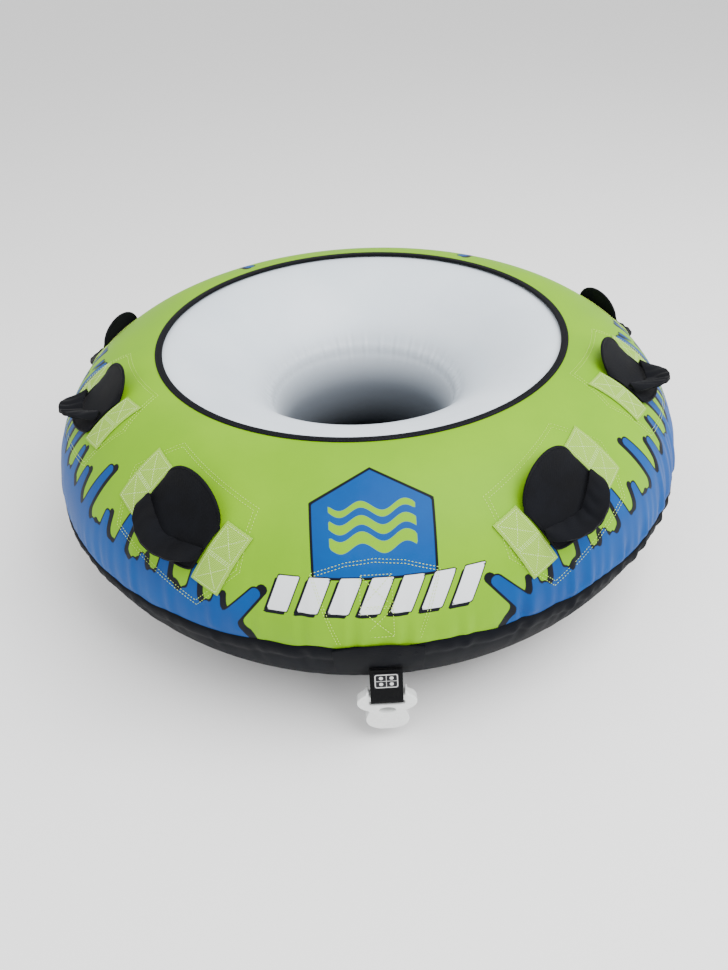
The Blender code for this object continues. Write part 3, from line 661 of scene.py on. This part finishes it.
def buildBinding():
    edge, reach = binding["edge"], binding["width"] - binding["edge"]
    over, under = 0.0004 + binding["ply"], -binding["under"] - binding["ply"]
    middle, half = (over + under) / 2, (over - under) / 2
    nose = [(-edge + half * (1 - math.sin(a)) * 0.8, middle + half * math.cos(a))
            for a in np.radians(np.linspace(0, 180, 9))]
    path = [(reach, 0.0004), (reach, over * 0.55), (reach - 0.001, over), *nose,
            (reach - 0.001, under), (reach, under * 0.9), (reach, -binding["under"]),
            (0.0, -binding["under"]), (-0.0004, 0.0004)]
    profile = [tuple(float(v) for v in sectionAt(a, lift)) for a, lift in path]
    return smooth(spun("mouth_binding", profile, closed=True), 50)


blackBinding = clothMaterial("black_binding", (0.0010, 0.0012, 0.0022), (0.0035, 0.004, 0.006), 0.6,
                             threads=2600.0)
finishPiece(buildBinding(), "tube", blackBinding, "black_binding", "hem_binding")

# bottom panel
print("floor panel")
floorPanel = {"thickness": 0.0012, "wrinkle": 0.0007, "grommetCircle": 0.090, "grommetHole": 0.0062}


def buildFloorPanel():
    radii = np.linspace(0.0, tube["foot"], 26)
    top = [(float(r), floorPanel["thickness"]) for r in radii]
    bottom = [(float(r), 0.0) for r in radii[::-1]]
    obj = spun("bottom_panel", top + bottom, steps=96)
    points = coords(obj)
    radius, turn = np.hypot(points[:, 0], points[:, 1]), np.arctan2(points[:, 1], points[:, 0])
    far = np.clip(abs(radius - floorPanel["grommetCircle"]) / 0.03 - 0.7, 0, 1)
    wave = 1 + np.sin(radius * 160 + 3 * np.sin(turn * 5)) * np.sin(turn * 11 + radius * 40)
    rise = floorPanel["wrinkle"] * wave * far * np.clip((tube["foot"] - radius) / 0.05, 0, 1)
    points[:, 2] += np.where(points[:, 2] > floorPanel["thickness"] / 2, rise, 0)
    setCoords(obj, points)
    for number in range(4):
        turn = math.pi / 2 * (number + 0.5)
        circle, hole = floorPanel["grommetCircle"], floorPanel["grommetHole"]
        place = (circle * math.cos(turn), circle * math.sin(turn), 0)
        deselect()
        bpy.ops.mesh.primitive_cylinder_add(vertices=32, radius=hole, depth=0.02, location=place)
        cutter = bpy.context.active_object
        applied(obj, "BOOLEAN", operation="DIFFERENCE", object=cutter)
        bpy.data.objects.remove(cutter)
    return smooth(obj, 40)


bottomPanel = buildFloorPanel()
finishPiece(bottomPanel, "tube", blackNylon, "black_nylon", "floor_panel")

# stitches: one small lens-shaped stitch, copied along runs of points
stitch = {"long": 0.0036, "wide": 0.0011, "high": 0.0006, "pitch": 0.0052}


def runPoints(place, corners, step=0.0015):
    # place(p, q, lift) read along straight runs between corners, with the surface's normal
    ps, qs = [], []
    for (p0, q0), (p1, q1) in zip(corners, corners[1:]):
        count = max(2, int(math.hypot(p1 - p0, q1 - q0) / step))
        share = np.linspace(0, 1, count, endpoint=False)
        ps.append(p0 + (p1 - p0) * share)
        qs.append(q0 + (q1 - q0) * share)
    ps, qs = np.append(np.concatenate(ps), corners[-1][0]), np.append(np.concatenate(qs), corners[-1][1])
    points = place(ps, qs, 0.0)
    normals = place(ps, qs, 0.001) - points
    return points, normals / np.linalg.norm(normals, axis=1)[:, None]


def sewStitches(name, runs, scale=1.0, pitch=None):
    pitch = pitch or stitch["pitch"]
    shape = np.array([(-0.5, 0, 0), (0, -0.5, 0), (0, 0, 1), (0, 0.5, 0), (0.5, 0, 0)])
    shape = shape * (stitch["long"] * scale, stitch["wide"] * scale, stitch["high"])
    sides = np.array([(0, 1, 2), (0, 2, 3), (0, 3, 1), (4, 2, 1), (4, 3, 2), (4, 1, 3)])
    points, faces = [], []
    for line, normals in runs:
        gone = np.concatenate(([0], np.cumsum(np.linalg.norm(np.diff(line, axis=0), axis=1))))
        for at in np.arange(pitch / 2, gone[-1], pitch):
            here = np.array([np.interp(at, gone, line[:, i]) for i in range(3)])
            ahead = np.array([np.interp(at + 0.001, gone, line[:, i]) for i in range(3)])
            behind = np.array([np.interp(at - 0.001, gone, line[:, i]) for i in range(3)])
            up = np.array([np.interp(at, gone, normals[:, i]) for i in range(3)])
            along = (ahead - behind) / max(np.linalg.norm(ahead - behind), 1e-9)
            side = np.cross(up, along)
            faces.append(sides + 5 * len(points))
            points.append(here + shape @ np.array([along, side, up]))
    mesh = bpy.data.meshes.new(name)
    mesh.from_pydata(np.concatenate(points).tolist(), [], np.concatenate(faces).tolist())
    return linkObject(name, mesh)


def metricUv(obj, width, length):
    layer = obj.data.uv_layers.active.data
    found = np.empty(len(layer) * 2, np.float32)
    layer.foreach_get("uv", found)
    found = found.reshape(-1, 2) * (width, length)
    layer.foreach_set("uv", found.astype(np.float32).ravel())


def bindingPlace(p, q, lift=0.0):
    return onTube(np.degrees(p / tube["hem"]), q, 0.0004 + binding["ply"] + lift)


turnOnce = 2 * math.pi * tube["hem"]
hemRun = runPoints(bindingPlace, [(0, binding["stitchAt"]), (turnOnce, binding["stitchAt"])])
hemThread = sewStitches("binding_stitches", [hemRun])
blackThread = clothMaterial("black_thread", (0.010, 0.010, 0.014), (0.03, 0.03, 0.036), 0.6, threads=3000.0)
finishPiece(hemThread, "tube", blackThread, "black_binding")

# handles
print("handles")
handle = {
    # degrees from the tow line, distance from the hem, twist in degrees, spacing of the tabs
    "pairs": {"front": (32.5, 0.188, 21.0, 0.186), "side": (70.8, 0.131, -8.0, 0.162),
              "rear": (112.0, 0.240, 0.0, 0.180)},
    "laid": 0.0008, "webbing": 0.050, "endGap": 0.004, "tabLength": 0.101, "tabThickness": 0.0024,
    "endWidth": 0.070, "inboard": 0.036, "outboard": 0.014, "rimRise": 0.024, "heelRise": 0.005,
    "curl": 2.2, "guardThickness": 0.004, "gripHeight": 0.036, "gripLean": 0.022, "gripBend": 0.024,
    "gripLift": 0.0088, "padThickness": 0.0042, "faceThickness": 0.0022,
    "patchHalf": (0.130, 0.088), "boxHalf": 0.0205, "piping": 0.0026,
}
limeWebbing = webbingMaterial("lime_webbing", (0.19, 0.38, 0.020), (0.34, 0.54, 0.090), count=2600.0)
blackWebbing = webbingMaterial("black_webbing", (0.0008, 0.0009, 0.0013), (0.0040, 0.0042, 0.0052))
neoprene = clothMaterial("black_neoprene", (0.0012, 0.0014, 0.0024), (0.0035, 0.004, 0.006), 0.72,
                         threads=2000.0, sheen=0.03, clouds=22.0)
paleThread = clothMaterial("pale_thread", (0.55, 0.72, 0.34), (0.68, 0.82, 0.46), 0.6, threads=3000.0)
limeThread = clothMaterial("lime_thread", (0.50, 0.72, 0.10), (0.62, 0.82, 0.20), 0.6, threads=3000.0)


def handlePlace(pair, side):
    angle, distance, twist, _ = handle["pairs"][pair]
    azimuth = tube["towAzimuth"] + side * angle
    cosine, sine = math.cos(math.radians(twist)), math.sin(math.radians(twist))

    def place(p, q, lift=0.0):
        along = p * cosine + q * sine
        at = distance - p * sine + q * cosine
        return onTube(azimuth + side * np.degrees(along / sectionAt(at)[0]), at, lift)

    return place


def sheetFrom(name, columns, rows, place, outward):
    # a grid laid by place(u, v), facing along the outward vector
    obj = grid(name, columns, rows)
    flat = coords(obj)
    setCoords(obj, place(flat[:, 0], flat[:, 1]))
    faceAlong(obj, outward)
    return obj


def towards(vector):
    return lambda points: np.tile(np.asarray(vector, float), (len(points), 1))


def buildTab(name, place, middle, outward):
    half, length = handle["webbing"] / 2, handle["tabLength"]

    def laid(u, v):
        edge = np.maximum(abs(u) ** 14, abs(v) ** 26)
        return place(middle + u * half, v * length / 2, handle["laid"] - 0.0004 * edge)

    obj = sheetFrom(name, 16, 30, laid, outward)
    metricUv(obj, handle["webbing"], length)
    thicken(obj, handle["tabThickness"], 1)
    roundEdges(obj, 0.0007, 2)
    return smooth(obj, 45)


def tabStitching(place, middle):
    half, reach = handle["boxHalf"], handle["tabLength"] / 2 - 0.004

    def top(p, q, lift):
        return place(middle + p, q, handle["laid"] + handle["tabThickness"] + lift)

    runs = []
    for low, high in ((-reach, -0.0025), (0.0025, reach)):
        inner = half - 0.0028
        runs.append([(-half, low), (half, low), (half, high), (-half, high), (-half, low)])
        runs.append([(-inner, low + 0.003), (inner, high - 0.003)])
        runs.append([(inner, low + 0.003), (-inner, high - 0.003)])
    runs.append([(-half, 0), (half, 0)])
    return [runPoints(top, run) for run in runs]


def buildGuard(name, place, halfSpan, outward):
    end = handle["endWidth"] / 2

    def bowl(u, v):
        bulge = np.sqrt(np.maximum(0, 1 - u * u))
        reach = np.where(v > 0, handle["outboard"], handle["inboard"])
        rise = np.where(v > 0, handle["heelRise"], handle["rimRise"])
        lift = handle["laid"] + bulge * rise * abs(v) ** handle["curl"]
        return place(u * halfSpan, v * (end + reach * bulge), lift)

    obj = sheetFrom(name, 44, 34, bowl, outward)
    thicken(obj, handle["guardThickness"], 1)
    roundEdges(obj, 0.0014, 3)
    return smooth(obj, 45)


def closedCord(name, spots, radius):
    curve = bpy.data.curves.new(name, "CURVE")
    curve.dimensions = "3D"
    curve.bevel_depth = radius
    curve.bevel_resolution = 3
    spline = curve.splines.new("POLY")
    spline.points.add(len(spots) - 1)
    for point, spot in zip(spline.points, spots):
        point.co = (*spot, 1)
    spline.use_cyclic_u = True
    only(linkObject(name, curve))
    bpy.ops.object.convert(target="MESH")
    return smooth(bpy.context.active_object, 60)


def buildPiping(name, place, halfSpan):
    # the bound edge of the guard, a cord with its centre on the guard's own edge
    end, count = handle["endWidth"] / 2, 48
    across = np.linspace(-1, 1, count)
    u = np.concatenate((across, np.ones(5), across[::-1], -np.ones(5)))
    turned = np.linspace(-0.7, 0.7, 5)
    v = np.concatenate((-np.ones(count), turned, np.ones(count), -turned))
    bulge = np.sqrt(np.maximum(0, 1 - u * u))
    reach = np.where(v > 0, handle["outboard"], handle["inboard"])
    rise = np.where(v > 0, handle["heelRise"], handle["rimRise"])
    lift = handle["laid"] + bulge * rise * abs(v) ** handle["curl"] + handle["guardThickness"] / 2 + 0.0006
    edge = place(u * halfSpan * 0.985, v * (end + reach * bulge) * 0.99, lift)
    return closedCord(name, edge, handle["piping"])


def gripSurface(place, halfSpan, seed):
    end = handle["endWidth"] / 2

    def strip(u, v):
        height = (v + 1) / 2
        crease = 1 - abs(u) ** 1.3
        arch = np.maximum(0, 1 - u * u) ** 0.6
        lowQ, lowLift = handle["gripBend"] * crease, handle["gripLift"] + 0.002 * crease
        highQ = end / 2 + handle["gripLean"] * arch
        highLift = handle["gripLift"] + handle["gripHeight"] * arch
        wrinkle = 0.0007 * np.sin(u * 19 + seed + 2 * np.sin(v * 2 + seed)) * (1 - u * u)
        wrinkle = wrinkle + 0.0009 * np.exp(-((u + 0.12 * v) / 0.07) ** 2)
        q = lowQ + (highQ - lowQ) * height + wrinkle
        lift = lowLift + (highLift - lowLift) * height - 0.5 * wrinkle
        return place(u * halfSpan, q, lift)

    return strip


def buildGrip(suffix, place, halfSpan, seed):
    strip = gripSurface(place, halfSpan, seed)
    end = handle["endWidth"] / 2
    zero = np.array([0.0])
    seatSide = place(zero, zero, end)[0] - place(zero, zero + end, 0.0)[0]
    pad = sheetFrom(f"grip_cushion_{suffix}", 44, 14, strip, towards(seatSide))
    thicken(pad, handle["padThickness"], 1)
    roundEdges(pad, 0.0015, 3)
    smooth(pad, 50)
    face = sheetFrom(f"grip_face_{suffix}", 44, 14, strip, towards(-seatSide))
    metricUv(face, 2 * halfSpan, 0.05)
    points, normals = coords(face), np.empty(len(face.data.vertices) * 3, np.float32)
    face.data.vertices.foreach_get("normal", normals)
    setCoords(face, points + normals.reshape(-1, 3) * 0.0004)
    thicken(face, handle["faceThickness"], 1)
    roundEdges(face, 0.0008, 2)
    smooth(face, 50)
    return pad, face


def patchRuns(place):
    # the reinforcement's double outline, a six-sided shape sewn through the cover
    wide, deep = handle["patchHalf"]
    runs = []
    for inset in (0.0, 0.006):
        x, y = wide - inset, deep - inset
        corners = [(-x, 0), (-x * 0.72, -y), (x * 0.72, -y), (x, 0), (x * 0.72, y), (-x * 0.72, y), (-x, 0)]
        runs.append(runPoints(lambda p, q, lift: place(p, q, 0.0003 + lift), corners))
    return runs


def buildHandle(pair, side, seed):
    suffix = f"{pair}_{'right' if side > 0 else 'left'}"
    place = handlePlace(pair, side)
    spacing = handle["pairs"][pair][3]
    halfSpan = (spacing - handle["webbing"]) / 2 - handle["endGap"]
    zero = np.array([0.0])
    outward = towards(place(zero, zero, 0.1)[0] - place(zero, zero, 0.0)[0])
    runs = []
    for label, middle in (("near", -spacing / 2), ("far", spacing / 2)):
        tab = buildTab(f"webbing_tab_{label}_{suffix}", place, middle, outward)
        finishPiece(tab, "tube", limeWebbing, "lime_webbing", f"tab_{label}_{suffix}")
        runs += tabStitching(place, middle)
    thread = sewStitches(f"tab_stitches_{suffix}", runs, pitch=0.0042)
    finishPiece(thread, "tube", paleThread, "lime_webbing")
    outline = sewStitches(f"patch_stitches_{suffix}", patchRuns(place))
    finishPiece(outline, "tube", limeThread, "printed_nylon")
    guard = buildGuard(f"guard_bowl_{suffix}", place, halfSpan, outward)
    finishPiece(guard, "tube", neoprene, "black_neoprene", f"knuckle_guard_{suffix}")
    piping = buildPiping(f"guard_piping_{suffix}", place, halfSpan)
    finishPiece(piping, "tube", blackBinding, "black_neoprene")
    pad, face = buildGrip(suffix, place, halfSpan, seed)
    finishPiece(pad, f"grip_{suffix}", neoprene, "black_neoprene", f"grip_pad_{suffix}")
    finishPiece(face, f"grip_{suffix}", blackWebbing, "black_webbing", f"grip_webbing_{suffix}")


for number, pair in enumerate(handle["pairs"]):
    for side in (-1, 1):
        buildHandle(pair, side, 1.7 * number + side)

# tow point
print("tow point")
tow = {
    "patch": (0.136, -0.008, 0.086), "patchThickness": 0.003, "dome": 0.010, "exit": 0.050,
    "drop": 0.060, "offset": 0.009, "rootRadius": 0.0026, "loopRadius": 0.0124, "ply": 0.002,
    "label": (0.038, 0.0006, 0.028), "labelDrop": 0.020,
}


def towPlace(p, q, lift=0.0):
    # p sideways and q down from the seam, both in metres
    return onTube(tube["towAzimuth"] + np.degrees(p / tube["radius"]), seamArc + q, lift)


def buildTowPatch():
    width, top, bottom = tow["patch"]

    def laid(u, v):
        upper = top + tow["dome"] * u * u
        ripple = 0.0006 * np.sin(u * 9 + v * 3) * (1 - u * u)
        return towPlace(u * width / 2, upper + (bottom - upper) * (v + 1) / 2, handle["laid"] + ripple)

    obj = sheetFrom("tow_pad", 40, 30, laid, towards((0, -1, 0)))
    thicken(obj, tow["patchThickness"], 1)
    roundEdges(obj, 0.0012, 3)
    return smooth(obj, 45)


def loopPath():
    # the strap's side outline, as (outwards, down) from its root: down in front, round the bar and up behind
    tip, loop = tow["rootRadius"] - tow["ply"] / 2, tow["loopRadius"] - tow["ply"] / 2
    slope = math.asin((loop - tip) / tow["drop"])
    turns = np.linspace(-slope, math.pi + slope, 41)
    front = [(tip * math.cos(slope), 0.0)]
    back = [(-tip * math.cos(slope), 0.0)]
    bottom = [(loop * math.cos(t), tow["drop"] + loop * math.sin(t)) for t in turns]
    return np.array(front + bottom + back)


def strapRoot():
    radius, height = sectionAt(seamArc + tow["exit"], tow["patchThickness"] + handle["laid"])
    return np.array((tow["offset"], -(float(radius) + tow["rootRadius"] + 0.0008), float(height)))


def buildStrap(root):
    path = loopPath()
    gone = np.concatenate(([0], np.cumsum(np.linalg.norm(np.diff(path, axis=0), axis=1))))

    def laid(u, v):
        at = (v + 1) / 2 * gone[-1]
        outwards, down = np.interp(at, gone, path[:, 0]), np.interp(at, gone, path[:, 1])
        return np.column_stack((root[0] + u * handle["webbing"] / 2, root[1] - outwards, root[2] - down))

    middle = root - (0, 0, tow["drop"] * 0.6)
    obj = sheetFrom("tow_webbing_loop", 12, 130, laid, lambda points: points - middle)
    metricUv(obj, handle["webbing"], float(gone[-1]))
    thicken(obj, tow["ply"], 0)
    roundEdges(obj, 0.0006, 2)
    return smooth(obj, 45)


def buildLabel(root):
    wide, thick, tall = tow["label"]
    slope = math.asin((tow["loopRadius"] - tow["rootRadius"]) / tow["drop"])
    face = tow["rootRadius"] + tow["labelDrop"] * math.tan(slope) + 0.0004

    def laid(u, v):
        out = face - v * tall / 2 * math.tan(slope)
        height = root[2] - tow["labelDrop"] + v * tall / 2
        return np.column_stack((root[0] + u * wide / 2, root[1] - out, height))

    obj = sheetFrom("strap_label", 76, 56, laid, towards((0, -1, 0)))
    flat = coords(obj)
    x, y = flat[:, 0] - root[0], flat[:, 2] - root[2] + tow["labelDrop"]
    inX, inY = abs(x) - (wide / 2 - 0.0050), abs(y) - (tall / 2 - 0.0050)
    rounded = np.hypot(np.maximum(inX, 0), np.maximum(inY, 0)) + np.minimum(np.maximum(inX, inY), 0) - 0.0028
    frameLine = abs(rounded) - 0.0007
    cross = np.maximum(np.minimum(abs(x), abs(y)) - 0.0004, rounded)
    spots = np.hypot(abs(x) - wide * 0.21, (abs(y) - tall * 0.2)) - 0.0030
    addValues(obj, "pale", np.minimum(np.minimum(frameLine, cross), spots))
    thicken(obj, thick, 1)
    return smooth(obj, 45)


def labelMaterial():
    material, tree, shader = newMaterial("label_print", 0.45)
    cloth = useGroup(tree, weave, Threads=4000.0, Unevenness=120.0)
    pale = ramp(tree, attributeValue(tree, "pale"), -0.0002, 0.0002)
    colour = mixColours(tree, pale, (0.62, 0.62, 0.62), (0.010, 0.010, 0.013))
    tree.links.new(colour, shader.inputs["Base Color"])
    bumpFrom(tree, shader, cloth.outputs["Height"], 0.2, 0.0003)
    return material


connector = {
    "thickness": 0.015, "barHalf": 0.006, "barWall": 0.004, "slot": (0.0275, 0.0085),
    "ear": (0.0465, 0.025, 0.010), "tongue": (0.034, 0.023, 0.050), "tip": 0.012,
    "hole": (0.013, 0.0065, 0.028), "voxel": 0.0009,
}


def connectorOutline():
    earHalf, earTall, earDrop = connector["ear"]
    tongueHalf, tongueTall, tongueDrop = connector["tongue"]
    heights = np.concatenate((np.linspace(earTall - earDrop, -earDrop - earTall * 0.8, 25),
                              np.linspace(0.004 - tongueDrop, -tongueDrop - tongueTall, 17)))

    def halfWidth(height):
        ear = max(0.0, 1 - ((height + earDrop) / earTall) ** 2)
        tongue = max(0.0, 1 - ((height + tongueDrop) / tongueTall) ** 2)
        beside = connector["slot"][0] + connector["barWall"] if height > connector["barHalf"] else 0
        return max(earHalf * math.sqrt(ear), tongueHalf * tongue ** 0.35, beside)

    notch = [(connector["slot"][0], connector["barHalf"]), (connector["slot"][0], heights[0])]
    side = notch + [(halfWidth(h), h) for h in heights[:-1]] + [(connector["tip"], heights[-1])]
    return side + [(-x, y) for x, y in reversed(side)]


def buildConnector(bar):
    half, deep = connector["slot"]
    top, bottom = -connector["barHalf"], -connector["barHalf"] - deep
    slotOutline = [(-half, bottom), (half, bottom), (half, top), (-half, top)]
    holeX, holeY, holeDrop = connector["hole"]
    turns = np.radians(np.arange(0, 360, 10))
    holeOutline = [(holeX * math.cos(t), holeY * math.sin(t) - holeDrop) for t in turns]
    curve = bpy.data.curves.new("rope_connector", "CURVE")
    curve.dimensions = "2D"
    curve.fill_mode = "BOTH"
    curve.extrude = connector["thickness"] / 2
    for points in (connectorOutline(), slotOutline, holeOutline):
        spline = curve.splines.new("POLY")
        spline.points.add(len(points) - 1)
        for point, (x, y) in zip(spline.points, points):
            point.co = (x, y, 0, 1)
        spline.use_cyclic_u = True
    only(linkObject("rope_connector", curve))
    bpy.ops.object.convert(target="MESH")
    obj = bpy.context.active_object
    closeRing(obj)
    applied(obj, "REMESH", mode="VOXEL", voxel_size=connector["voxel"])
    applied(obj, "SMOOTH", factor=0.5, iterations=14)
    stand = Matrix.Translation(Vector(bar)) @ Matrix(((1, 0, 0), (0, 0, -1), (0, 1, 0))).to_4x4()
    obj.data.transform(stand)
    return smooth(obj, 60)


root = strapRoot()
finishPiece(buildTowPatch(), "tube", blackNylon, "black_nylon", "tow_patch")
finishPiece(buildStrap(root), "tow_strap", blackWebbing, "black_webbing", "tow_strap")
finishPiece(buildLabel(root), "tow_strap", labelMaterial(), "label_print", "tow_label")
milky = plasticMaterial("white_plastic", (0.80, 0.82, 0.81), 0.28, coat=0.3)
ropeConnector = buildConnector(root - (0, 0, tow["drop"]))
finishPiece(ropeConnector, "tow_connector", milky, "white_plastic", "tow_connector")


# boxes over the hidden webbing and the double outline round them, from the seam, down positive
towSewing = {"half": 0.0235, "boxes": ((-0.121, -0.074), (-0.071, -0.023)), "gap": 0.005,
             "shoulder": (0.098, -0.122), "slope": (0.045, -0.139), "crest": -0.144, "foot": (0.060, -0.010)}


def towStitches():
    def top(p, q, lift):
        return towPlace(p, q, 0.0003 + lift)

    runs = []
    half = towSewing["half"]
    wide, shoulderAt = towSewing["shoulder"]
    slopeWide, slopeAt = towSewing["slope"]
    footWide, footAt = towSewing["foot"]
    for high, low in towSewing["boxes"]:
        runs.append([(-half, high), (half, high), (half, low), (-half, low), (-half, high)])
        runs.append([(-half, high), (half, low)])
        runs.append([(half, high), (-half, low)])
    for offset in (0.0, towSewing["gap"]):
        shoulder, slope = shoulderAt + offset, slopeAt + offset
        crest = towSewing["crest"] + offset
        runs.append([(-wide, shoulder), (-slopeWide, slope), (0, crest), (slopeWide, slope), (wide, shoulder)])
        for side in (-1, 1):
            runs.append([(side * (wide - offset), shoulder), (side * (footWide - offset), footAt)])
    return [runPoints(top, run) for run in runs]


finishPiece(sewStitches("tow_stitches", towStitches()), "tube", limeThread, "printed_nylon")

# valve, its flap and the zip, at the back
print("valve and zip")
zipper = {"start": 62.0, "end": 118.0, "tape": 0.024, "tapeLength": 0.576, "tapeThickness": 0.0012,
          "tooth": (0.0021, 0.0030, 0.0016), "pitch": 0.0032}


def valvePlace(p, q, lift=0.0):
    radius = float(sectionAt(valve["distance"])[0])
    return onTube(valve["azimuth"] + np.degrees(p / radius), valve["distance"] + q, lift)


def flapLift(u, v):
    dome = np.maximum(0, 1 - u * u) * np.maximum(0, 1 - v * v)
    return handle["laid"] + valve["dome"] * np.minimum(1, valve["flatness"] * dome)


def buildFlap():
    half, tall = valve["flap"][0] / 2, valve["flap"][1] / 2

    def laid(u, v):
        return valvePlace(u * half, v * tall, flapLift(u, v))

    obj = sheetFrom("window_flap", 40, 40, laid, awayFromTube)
    thicken(obj, valve["flapThickness"], 1)
    roundEdges(obj, 0.0005, 2)
    return smooth(obj, 45)


def flapStitches():
    half, tall = valve["flap"][0] / 2, valve["flap"][1] / 2

    def top(p, q, lift):
        return valvePlace(p, q, flapLift(p / half, q / tall) + valve["flapThickness"] + lift)

    x, y = half - 0.005, tall - 0.005
    return [runPoints(top, [(-x, -y), (-x, y), (x, y), (x, -y)]), runPoints(top, [(-x, -y), (x, -y)])]


def zipPlace(u, q, lift=0.0):
    middle, half = (zipper["start"] + zipper["end"]) / 2, (zipper["end"] - zipper["start"]) / 2
    return onTube(middle + u * half, seamArc + q, lift)


def buildZipTape():
    def laid(u, v):
        return zipPlace(u, v * zipper["tape"] / 2, handle["laid"])

    obj = sheetFrom("zip_ribbon", 120, 8, laid, awayFromTube)
    metricUv(obj, zipper["tapeLength"], zipper["tape"])
    thicken(obj, zipper["tapeThickness"], 1)
    return smooth(obj, 45)


def buildTeeth():
    # one bevelled tooth, copied in two staggered rows
    wide, tall, high = zipper["tooth"]
    deselect()
    bpy.ops.mesh.primitive_cube_add(size=1)
    tooth = bpy.context.active_object
    tooth.data.transform(Matrix.Diagonal((wide, tall, high, 1)))
    applied(tooth, "BEVEL", width=0.0004, segments=1)
    shape = coords(tooth)
    sides = [list(p.vertices) for p in tooth.data.polygons]
    bpy.data.objects.remove(tooth)
    span = math.radians(zipper["end"] - zipper["start"]) * tube["radius"]
    base = handle["laid"] + zipper["tapeThickness"] + high / 2 + 0.0003
    points, faces = [], []
    for number in range(int(span / zipper["pitch"])):
        for row in (-1, 1):
            gone = (number + 0.25 * (row + 1)) * zipper["pitch"]
            turn = math.radians(zipper["start"] + math.degrees(gone / tube["radius"]))
            radius, height = (float(x) for x in sectionAt(seamArc + row * 0.0013, base))
            cosine, sine = math.cos(turn), math.sin(turn)
            frameHere = np.array(((-sine, cosine, 0), (0, 0, 1), (cosine, sine, 0)))
            here = np.array((radius * cosine, radius * sine, height))
            start = sum(len(p) for p in points)
            points.append(here + shape @ frameHere)
            faces += [[i + start for i in side] for side in sides]
    mesh = bpy.data.meshes.new("zip_coil")
    mesh.from_pydata(np.concatenate(points).tolist(), [], faces)
    return linkObject("zip_coil", mesh)


# the cord that covers the gap between the skirt and the bottom panel
footPiping = {"past": 0.0022, "height": 0.0030, "radius": 0.0028}


def buildFootPiping():
    turns = np.radians(np.arange(0, 360, 3))
    radius = tube["foot"] + footPiping["past"]
    height = np.full(len(turns), footPiping["height"])
    rim = np.column_stack((np.cos(turns) * radius, np.sin(turns) * radius, height))
    return closedCord("foot_piping", rim, footPiping["radius"])


finishPiece(buildFootPiping(), "tube", blackBinding, "black_binding")
holeTurns = np.radians(np.arange(0, 360, 5))
holeRim = valvePlace(valve["coverHole"] * np.cos(holeTurns), valve["coverHole"] * np.sin(holeTurns), 0.0002)
finishPiece(closedCord("window_binding", holeRim, 0.0016), "tube", blackBinding, "printed_nylon")
flapPiece = buildFlap()
flapCloth = clothMaterial("flap_nylon", cover["lime"], cover["limePale"], 0.5, threads=2200.0)
finishPiece(flapPiece, "valve_flap", flapCloth, "printed_nylon", "valve_flap")
finishPiece(sewStitches("flap_stitches", flapStitches()), "valve_flap", limeThread, "printed_nylon")
finishPiece(buildZipTape(), "tube", blackWebbing, "black_webbing", "zip_tape")
toothPlastic = plasticMaterial("zip_nylon", (0.018, 0.018, 0.022), 0.35)
finishPiece(buildTeeth(), "tube", toothPlastic, "black_webbing", "zip_teeth")

# nodes kept from the frame: their own finishes
metal = plasticMaterial("satin_metal", (0.50, 0.50, 0.52), 0.32, mottle=0.15, metallic=1.0)
backing = clothMaterial("white_backing", (0.62, 0.62, 0.60), (0.72, 0.72, 0.70), 0.75, threads=1200.0)
for name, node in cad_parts.items():
    if node.hide_render:
        continue
    chosen = blackWebbing
    if name.startswith(("drain", "zip")):
        chosen = metal
    elif name.startswith("handle_patch"):
        chosen = backing
    elif name in ("valve_body", "valve_cap", "valve_tether"):
        chosen = milky
    elif name == "valve_membrane":
        chosen = neoprene
    node.data.materials.clear()
    node.data.materials.append(chosen)

# floor, light and camera
print("studio")
studio = {"floor": 0.95, "world": 1.15, "key": 190.0, "fill": 30.0}


def paleMaterial(name, value):
    material = newMaterial(name, 0.8)[0]
    material.node_tree.nodes["Principled BSDF"].inputs["Base Color"].default_value = (value, value, value, 1)
    return material


def addLight(name, place, energy, size):
    light = bpy.data.lights.new(name, "AREA")
    light.energy = energy
    light.size = size
    obj = linkObject(name, light)
    obj.location = place
    obj.rotation_mode = "QUATERNION"
    obj.rotation_quaternion = (Vector((0, 0, 0.2)) - Vector(place)).to_track_quat("-Z", "Y")


deselect()
bpy.ops.mesh.primitive_plane_add(size=40, location=(0, 0, -0.0005))
ground = bpy.context.active_object
ground.name = "studio_floor"
ground.data.materials.append(paleMaterial("studio_floor", studio["floor"]))

world = bpy.data.worlds.new("studio")
bpy.context.scene.world = world
world.use_nodes = True
world.node_tree.nodes["Background"].inputs["Color"].default_value = (1, 1, 1, 1)
world.node_tree.nodes["Background"].inputs["Strength"].default_value = studio["world"]
addLight("key", (1.5, -1.0, 3.0), studio["key"], 3.0)
addLight("fill", (-2.2, -1.4, 2.4), studio["fill"], 3.0)

# the camera, in shares of the tube's radius: tilt, distance, roll and the aim's offset
shot = {"tilt": 36.8459, "distance": 3.0223, "roll": -3.0383, "aim": (-0.0198, 0.0893), "unit": 0.59,
        "lens": 30.406}


def addCamera():
    tilt, roll = math.radians(shot["tilt"]), math.radians(shot["roll"])
    back = Vector((0, -math.cos(tilt), math.sin(tilt)))
    right, up = Vector((1, 0, 0)), Vector((0, math.sin(tilt), math.cos(tilt)))
    across = math.cos(roll) * right + math.sin(roll) * up
    above = -math.sin(roll) * right + math.cos(roll) * up
    centre = (back * shot["distance"] + across * shot["aim"][0] + above * shot["aim"][1]) * shot["unit"]
    data = bpy.data.cameras.new("camera")
    data.sensor_width = 36
    data.lens = shot["lens"]
    obj = linkObject("camera", data)
    obj.matrix_world = Matrix.Translation(centre) @ Matrix((across, above, back)).transposed().to_4x4()
    bpy.context.scene.camera = obj


addCamera()
print("done")
